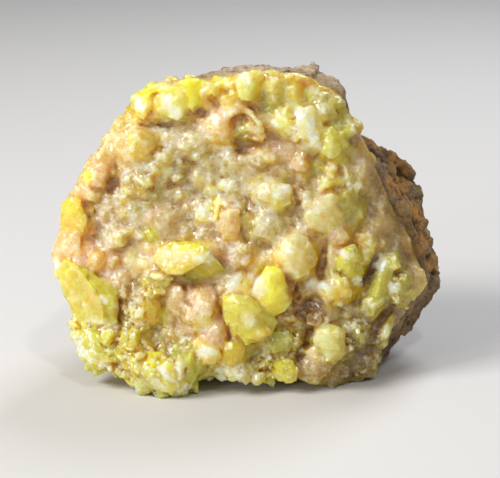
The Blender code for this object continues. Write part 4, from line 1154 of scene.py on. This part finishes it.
def outline_of(corners):
    """The corners round the outside of a drawn crystal, in order, with its middle."""
    spots = sorted(set((x, y) for x, y, rise in corners))
    hull = []
    for path in (spots, spots[::-1]):
        start = len(hull)
        for spot in path:
            while len(hull) - start >= 2:
                (ax, ay), (bx, by) = hull[-2:]
                if (bx - ax) * (spot[1] - ay) - (by - ay) * (spot[0] - ax) > 0.0:
                    break
                hull.pop()
            hull.append(spot)
        hull.pop()
    return (*middle_of(corners), hull)


def scattered_spots(solid, count, dice, layer):
    """Places for small crystals, evenly crowded over the crust: (point, normal, zone, width)."""
    areas = [face.calc_area() if face.normal.y < FACING_BACK else 0.0 for face in solid.faces]
    taken = {}
    spots = []
    for face in dice.choices(solid.faces[:], weights=areas, k=count * TRIES_EACH):
        if len(spots) >= count:
            break
        weights = [-math.log(dice.random() + 1e-9) for vert in face.verts]
        corners = [vert.co * weight for vert, weight in zip(face.verts, weights)]
        point = sum(corners, Vector()) / sum(weights)
        x, y = place_in_view(point)
        zone = zone_of(x, y, dice)
        habit = HABITS[zone.habit]
        if dice.random() > (habit.grown_share if layer == "skin" else habit.lump_share):
            continue
        if is_kept_clear(point, x, y):
            continue
        smallest, largest = habit.grown if layer == "skin" else habit.lumps
        width = smallest + (largest - smallest) * dice.random() ** 1.6
        cell = tuple(int(math.floor(value / NEARBY)) for value in point)
        near = [
            other
            for a in (-1, 0, 1) for b in (-1, 0, 1) for c in (-1, 0, 1)
            for other in taken.get((cell[0] + a, cell[1] + b, cell[2] + c), ())
        ]
        room = SPACING * 0.5 * MM
        if any((point - spot).length < room * (width + wide) for spot, wide in near):
            continue
        taken.setdefault(cell, []).append((point, width))
        spots.append((point, face.normal.copy(), zone, width))
    return spots


# Nothing more grows over the drawn crystals, but for the dusty ones, or inside the arch.
OUTLINES = [
    outline_of(corners)
    for tint, corners in SOFT_CRYSTALS + CLEAR_CRYSTALS
    if tint not in ("tan", "sugar")
]
OUTLINES.append((246.0, 131.0, [(224, 108), (266, 108), (268, 154), (228, 154)]))

dice = random.Random(SEEDS["drawn"])
blanks = {
    shape: [crystal_blank(shape, dice) for number in range(BLANKS_EACH)]
    for shape in ("block", "round")
}
no_turn = Matrix.Identity(4)

# the softened body and its rounded crystals
body_growth = Growth()
for tint, corners in SOFT_CRYSTALS:
    body_growth.add(drawn_crystal(solid_tree, corners), no_turn, varied(tint, dice, 0.05))
soft_tree = BVHTree.FromBMesh(body_growth.bm)
for tint, x, y, width, height, turn, rise in FROSTED_LUMPS:
    on_drawn = soft_tree.ray_cast(eye, sight_line(x, y))[0] is not None
    tree = soft_tree if on_drawn else solid_tree
    proud = rise * 0.5 if on_drawn else rise
    place = frosted_lump(tree, x, y, width, height, turn, proud)
    body_growth.add(dice.choice(blanks["round"]), place, varied(tint, dice, 0.05))
dice = random.Random(SEEDS["body"])
for point, normal, zone, width in scattered_spots(crust_solid, BODY_LUMPS, dice, "body"):
    size = (width, width * dice.uniform(0.9, 1.2), width * dice.uniform(0.8, 1.3))
    proud = width * HABITS[zone.habit].lump_stands
    place = stand_on(point, normal, size, proud, dice.uniform(-60, 60), dice.uniform(-0.4, 0.4))
    tint = own_tint(zone, dice, LUMP_OWN_SHARE)
    body_growth.add(dice.choice(blanks["round"]), place, tint)
soft_tree = BVHTree.FromBMesh(body_growth.bm)
soft_tints = body_growth.face_tints()

core_mesh = remeshed(crust_solid, CORE_CELL)
move_points(core_mesh, smoothed(points_of(core_mesh), edges_of(core_mesh), CORE_SOFTENING))
body_growth.bm.from_mesh(core_mesh)


def largest_skin(mesh):
    """Drops the skins of hollows that a remesh closed in."""
    edges = edges_of(mesh)
    label = np.arange(len(mesh.vertices))
    while True:
        low = np.minimum(label[edges[:, 0]], label[edges[:, 1]])
        before = label.copy()
        np.minimum.at(label, edges[:, 0], low)
        np.minimum.at(label, edges[:, 1], low)
        label = label[label]
        if np.array_equal(before, label):
            break
    keep = np.bincount(label).argmax()
    bm = bmesh.new()
    bm.from_mesh(mesh)
    spare = [vert for vert in bm.verts if label[vert.index] != keep]
    bmesh.ops.delete(bm, geom=spare, context="VERTS")
    bm.to_mesh(mesh)
    bm.free()
    return mesh


body_mesh = largest_skin(remeshed(body_growth.bm, BODY_CELL))
body_points = smoothed(points_of(body_mesh), edges_of(body_mesh), BODY_SOFTENING)
move_points(body_mesh, body_points)
move_points(body_mesh, body_points - normals_of(body_mesh) * BODY_SHRINK * MM)

# sharp crystals that stand clear of it, and fine ones grown over it in places
grown = Growth()
for tint, corners in CLEAR_CRYSTALS:
    crystal = drawn_crystal(solid_tree, corners)
    shade = varied(tint, dice, 0.03)
    grown.add(crystal, no_turn, shade)
    if len(corners) > 10:
        grown.add(crystal, stepped(crystal, dice), shade)
clear_tree = BVHTree.FromBMesh(grown.bm)
body_bm = bmesh.new()
body_bm.from_mesh(body_mesh)
dice = random.Random(SEEDS["skin"])
for point, normal, zone, width in scattered_spots(body_bm, GROWN_CRYSTALS, dice, "skin"):
    habit = HABITS[zone.habit]
    shape = "round" if dice.random() < habit.rounded else "block"
    size = (width, width * dice.uniform(0.9, 1.3), width * dice.uniform(0.9, 1.4))
    shift = Vector([dice.uniform(-0.35, 0.35) for axis in range(3)])
    outward = (normal + shift).normalized()
    proud = width * habit.stands
    place = stand_on(point, outward, size, proud, dice.uniform(-60, 60), dice.uniform(-0.5, 0.5))
    tint = own_tint(zone, dice, GROWN_OWN_SHARE)
    grown.add(dice.choice(blanks[shape]), place, tint)
body_bm.free()
grown_tree = BVHTree.FromBMesh(grown.bm)
grown_tints = grown.face_tints()
grown.bm.from_mesh(body_mesh)


# the layers of its relief: how wide and how deep each is, in millimetres
WAVE_WIDTH, WAVE_DEPTH = 2.2, 0.12
RIPPLE_WIDTH, RIPPLE_DEPTH = 1.1, 0.08
ETCH_WIDTH, ETCH_DEPTH = 0.5, 0.05
STEP_WIDTH, STEP_DEPTH = 1.6, 0.20
FLAKE_WIDTH, FLAKE_DEPTH = 0.9, 0.08
# how near a drawn crystal counts as its own skin, and how near tints are taken from
CLEAR_REACH = 0.25 * MM
BODY_TINT_REACH = 0.9 * MM
GROWN_TINT_REACH = 0.5 * MM
# a hollow is filled this much at each round, but far less where it sparkles
FILL_SHARE = 0.6
SPARKLE_KEPT = 0.9
# how far off crystals shut a place in, and along how many lines that is looked for
SHADE_REACH = 3.0 * MM
SHADE_LINES = 9
# a crevice this deep gets the full painted amber shade; it is measured against a surface smoothed this
# often
CREVICE_FULL_SHADE = 0.2
CREVICE_ROUNDS = 12


def tints_from(points, tree, face_tints, base, reach, strength):
    """Colours points near a crystal with its tint, over a base."""
    tints = base.copy()
    for number, point in enumerate(points):
        spot, normal, index, distance = tree.find_nearest(point, reach)
        if spot is not None:
            share = strength * (1.0 - (distance / reach) ** 2)
            tints[number] += share * (face_tints[index] - tints[number])
    return tints


def hollows_filled(mesh, rounds):
    """The points of a mesh with its crevices rounded out and its edges left sharp."""
    edges = edges_of(mesh)
    points = points_of(mesh)
    sparkling = zone_blend(points, [(HABITS[zone.habit].sparkling,) for zone in ZONES])
    softness = FILL_SHARE * (1.0 - SPARKLE_KEPT * sparkling)
    for number in range(rounds):
        step = neighbour_mean(points, edges) - points
        move_points(mesh, points)
        along = (step * normals_of(mesh)).sum(axis=1)
        points = points + softness * step * (along > 0.0)[:, None]
    return points


def skin_wear(place, clean, crystalline):
    """How deep the crust's surface is etched and stepped at a point, in millimetres."""
    place = Vector(place) / MM
    waves = WAVE_DEPTH * swell(place, WAVE_WIDTH, 1.0, 4.0, 8.0)
    ripple = RIPPLE_DEPTH * noise.noise(place / RIPPLE_WIDTH)
    etched = waves + ripple + ETCH_DEPTH * swell(place, ETCH_WIDTH, 3.0, 7.0, 1.0)
    bend = noise.noise_vector(place / 1.5) * 0.25
    step = STEP_DEPTH + 0.25 * crystalline + 0.18 * clean
    flake = (FLAKE_DEPTH + 0.26 * crystalline) * (1.0 - 0.7 * clean)
    steps = step * facets(place + bend, STEP_WIDTH)
    flakes = flake * facets(place + bend, FLAKE_WIDTH)
    return etched * (1.0 - 0.8 * clean) + steps + flakes


crust_mesh = largest_skin(remeshed(grown.bm, CRUST_CELL))
move_points(crust_mesh, hollows_filled(crust_mesh, CRUST_FILLING))
ratio = CRUST_TRIANGLES / (2.0 * len(crust_mesh.polygons))
crust_bm = bmesh.new()
crust_bm.from_mesh(crust_mesh)
crust_mesh = worked_out(crust_bm, "DECIMATE", ratio=ratio, use_collapse_triangulate=True)

crust_edges = edges_of(crust_mesh)
crust_points = points_of(crust_mesh)
sunk = cleft_depth(crust_points, normals_of(crust_mesh))
clean = np.zeros(len(crust_points))
for number, point in enumerate(crust_points):
    if clear_tree.find_nearest(point, CLEAR_REACH)[0] is not None:
        clean[number] = 1.0
zone_values = [(*TINTS[zone.body], zone.dust, HABITS[zone.habit].sparkling) for zone in ZONES]
blended = zone_blend(crust_points, zone_values)
body_tints, dusty, sparkling = blended[:, :3], blended[:, 3], blended[:, 4]
worn = np.array([skin_wear(*row) for row in zip(crust_points, clean, sparkling)])
crust_points = crust_points - normals_of(crust_mesh) * worn[:, None] * MM
crust_points = set_down(crust_points + np.array(sight) * sunk[:, None] * MM)
move_points(crust_mesh, crust_points)


def closed_in(points, normals, tree, reach):
    """How much of the sky over each point is taken up within a reach."""
    fan = []
    for number in range(SHADE_LINES):
        rise = 1.0 - (number + 0.5) / SHADE_LINES * 0.75
        around = number * math.pi * (3.0 - math.sqrt(5.0))
        flat = math.sqrt(1.0 - rise * rise)
        fan.append((flat * math.cos(around), flat * math.sin(around), rise))
    closed = np.zeros(len(points))
    for number, point in enumerate(points):
        normal = Vector(normals[number])
        spot = Vector(point) + normal * 0.05 * MM
        side = normal.orthogonal().normalized()
        other = normal.cross(side)
        for a, b, c in fan:
            hit = tree.ray_cast(spot, side * a + other * b + normal * c, reach)
            if hit[0] is not None:
                closed[number] += 1.0 - hit[3] / reach
    return closed / len(fan)


tints = tints_from(crust_points, soft_tree, soft_tints, body_tints, BODY_TINT_REACH, 0.8)
tints = tints_from(crust_points, grown_tree, grown_tints, tints, GROWN_TINT_REACH, 0.9)
tints, snow = touched_up(crust_points, smoothed(tints, crust_edges, 1))
layer = crust_mesh.color_attributes.new(name="tint", type="FLOAT_COLOR", domain="POINT")
rows = np.concatenate((tints, np.ones((len(tints), 1))), axis=1)
layer.data.foreach_set("color", rows.astype(np.float32).reshape(-1))

# painted light: what faces up and to the left, towards the window, is painted paler, and what faces away
# darker and more golden
LIGHT_FROM = Vector((-0.6, -0.45, 0.68)).normalized()
crust_normals = normals_of(crust_mesh)
skin_tree = BVHTree.FromPolygons(
    [Vector(point) for point in crust_points], [tuple(face.vertices) for face in crust_mesh.polygons])
closed = closed_in(crust_points, crust_normals, skin_tree, SHADE_REACH)
store_number(crust_mesh, "snow", snow)
store_number(crust_mesh, "dust", dusty * (1.0 - 0.6 * clean))
store_number(crust_mesh, "painted_sparkle", sparkling)
store_number(crust_mesh, "clean", smoothed(clean, crust_edges, 1))
# how shut in each point is, and how deep it lies, paint the amber shade in clefts and crevices
store_number(crust_mesh, "closed", smoothed(closed, crust_edges, 1))
crevices = smoothed(pit_depth(crust_mesh, CREVICE_ROUNDS), crust_edges, 1) / CREVICE_FULL_SHADE
store_number(crust_mesh, "pit", crevices)
store_number(crust_mesh, "lit_side", smoothed(crust_normals @ np.array(LIGHT_FROM), crust_edges, 4))
crust_mesh.set_sharp_from_angle(angle=CREASE)
show("crystal_crust", crust_mesh, "sulfur_crust")

# what tints the sulfur: its depth, its dust and dirt and its edges, and painted light: paler on the side
# facing the window, darker and golden on its far sides, amber shade in its clefts and crevices, and white
# glints
SHADE_SIDE_GOLD = (0.95, 0.84, 0.16)
INNER_CLOUD = (0.93, 0.84, 0.34)
INNER_SHARDS = (0.84, 0.76, 0.10)
CLEFT_SHADE_AMBER = (0.80, 0.56, 0.04)
PIT_SHADE_AMBER = (0.66, 0.46, 0.04)
LIT_PEARL = (0.96, 0.90, 0.74)
EDGE_PALE = (0.97, 0.93, 0.72)
EDGE_LEMON = (0.99, 0.95, 0.42)
CLAY_PALE = (0.92, 0.79, 0.52)
CLAY_BROWN = (0.48, 0.31, 0.11)
DIRT = (0.06, 0.035, 0.02)
GLINT_WHITE = (0.98, 0.97, 0.86)
# how far light goes in it, red, green and blue, and how strongly it bends light
GLOW_DEPTH = 5.5 * MM
GLOW_SHARES = (1.0, 0.72, 0.10)
SULFUR_IOR = 1.8


def sulfur_finish():
    """Translucent sulfur, with painted light: paler on the side facing the window, darker and golden on
    its far sides, amber shade in its clefts, and white glints.
    """
    f = Finish("sulfur")
    closed = f.attribute("closed")
    pit = f.attribute("pit")
    dust = f.attribute("dust")
    clean = f.attribute("clean")
    lit_side = f.attribute("lit_side").over(-0.1, 0.8)
    inner = f.noise(3.0, 2.0, 0.5, 0.8)
    cloud = f.noise(1.1, 4.0, 0.6, 0.5)
    fine = f.noise(0.45, 3.0, 0.6)
    grain = f.noise(0.3, 2.0, 0.6)
    speck = f.noise(0.32, 4.0, 0.7)
    depths = f.cells(1.4, 0.35)
    glint = f.cells(0.42, 0.0).over(0.70, 0.78)
    painted_sparkle = f.cells(0.45, 0.5).over(0.86, 0.91) * f.attribute("painted_sparkle")
    # painted shade: the sides facing away from the light are darker and more golden
    colour = f.mix((1.0 - lit_side) * 0.9, f.attribute("tint", "Color"), SHADE_SIDE_GOLD, "MULTIPLY")
    colour = f.mix(inner.over(0.38, 0.62) * 0.45, colour, INNER_CLOUD, "MULTIPLY")
    colour = f.mix(depths.over(0.3, 1.0) * (0.3 + clean * 0.2), colour, INNER_SHARDS, "MULTIPLY")
    # painted light: the sides facing the light are paler, in pearly clouds
    lit_pearly = lit_side * cloud.over(0.46, 0.66) * (1.0 - clean * 0.8) * 0.55
    colour = f.mix(lit_pearly, colour, LIT_PEARL)
    colour = f.mix(dust * grain.over(0.5, 0.7) * 0.4, colour, CLAY_PALE)
    colour = f.mix(dust * fine.over(0.54, 0.68) * 0.25, colour, CLAY_BROWN)
    # painted amber shade where the crust is shut in, and in its crevices
    colour = f.mix(closed.over(0.05, 0.36) * (0.95 - clean * 0.3), colour, CLEFT_SHADE_AMBER, "MULTIPLY")
    colour = f.mix(pit.over(0.1, 1.0) * 0.8, colour, PIT_SHADE_AMBER, "MULTIPLY")
    colour = f.mix((0.0 - pit).over(0.2, 1.2) * (0.36 - clean * 0.3), colour, EDGE_PALE)
    colour = f.mix((0.0 - pit).over(0.3, 1.4) * clean * 0.35, colour, EDGE_LEMON)
    specks = (dust + 0.1) * speck.over(0.60, 0.65) * inner.over(0.44, 0.56)
    colour = f.mix(specks, colour, DIRT)
    # painted glints: white on the touched spots, and on scattered cells on the lit side where it sparkles
    glint_paint = f.attribute("snow") * cloud.over(0.32, 0.58) * 0.85
    colour = f.mix(glint_paint + painted_sparkle * lit_side * 0.8, colour, GLINT_WHITE)
    bumps = f.bump(f.flakes(1.1), 0.45, 0.5)
    bumps = f.bump(f.flakes(0.42), 0.50, 0.8, bumps)
    bumps = f.bump(fine, 0.4, 0.16 * MM, bumps)
    rough = (0.10 + cloud.over(0.45, 0.75) * 0.16 + dust * 0.45) * (1.0 - glint * 0.8)
    return f.finish({
        "Base Color": colour, "Roughness": rough, "Normal": bumps, "IOR": SULFUR_IOR,
        "Subsurface Weight": 1.0, "Subsurface Radius": GLOW_SHARES,
        "Subsurface Scale": GLOW_DEPTH, "Specular IOR Level": 0.46,
    })


crust_mesh.materials.append(sulfur_finish())


# ---- Floor and light ----
# A plain pale table and backdrop, lit by a soft window above and to the left.
# Weaker lights stand at its side, behind it, and small and high for glints.
FLOOR_HALF = 0.6
floor_bm = bmesh.new()
bmesh.ops.create_grid(floor_bm, x_segments=1, y_segments=1, size=FLOOR_HALF)
floor_mesh = mesh_of(floor_bm, "floor")
floor = put_in_scene("floor", floor_mesh)
table = Finish("plain_table")
floor_mesh.materials.append(table.finish({"Base Color": (0.70, 0.69, 0.68, 1.0), "Roughness": 0.8}))

world = bpy.data.worlds.new("studio")
world.use_nodes = True
backdrop = world.node_tree.nodes["Background"]
backdrop.inputs["Color"].default_value = (0.92, 0.93, 0.95, 1.0)
backdrop.inputs["Strength"].default_value = 0.21
bpy.context.scene.world = world


def soft_light(name, place, aim, size, power, colour):
    """A square soft box at place, turned towards aim; size in metres and power in watts."""
    data = bpy.data.lights.new(name, "AREA")
    data.shape = "SQUARE"
    data.size = size
    data.energy = power
    data.color = colour
    lamp = put_in_scene(name, data)
    lamp.location = place
    lamp.rotation_euler = (Vector(aim) - Vector(place)).to_track_quat("-Z", "Y").to_euler()


soft_light("window", (-0.34, -0.18, 0.36), (0.0, 0.0, 0.025), 0.18, 2.1, (1.0, 0.98, 0.94))
soft_light("side", (-0.35, -0.35, 0.16), (0.0, 0.0, 0.025), 0.08, 0.45, (1.0, 0.98, 0.95))
soft_light("back", (0.16, 0.24, 0.40), (0.0, 0.0, 0.03), 0.20, 1.1, (0.95, 0.97, 1.0))
soft_light("spark", (0.10, -0.25, 0.45), (0.0, 0.0, 0.03), 0.03, 0.34, (1.0, 1.0, 1.0))

bpy.context.scene.view_settings.view_transform = "Standard"
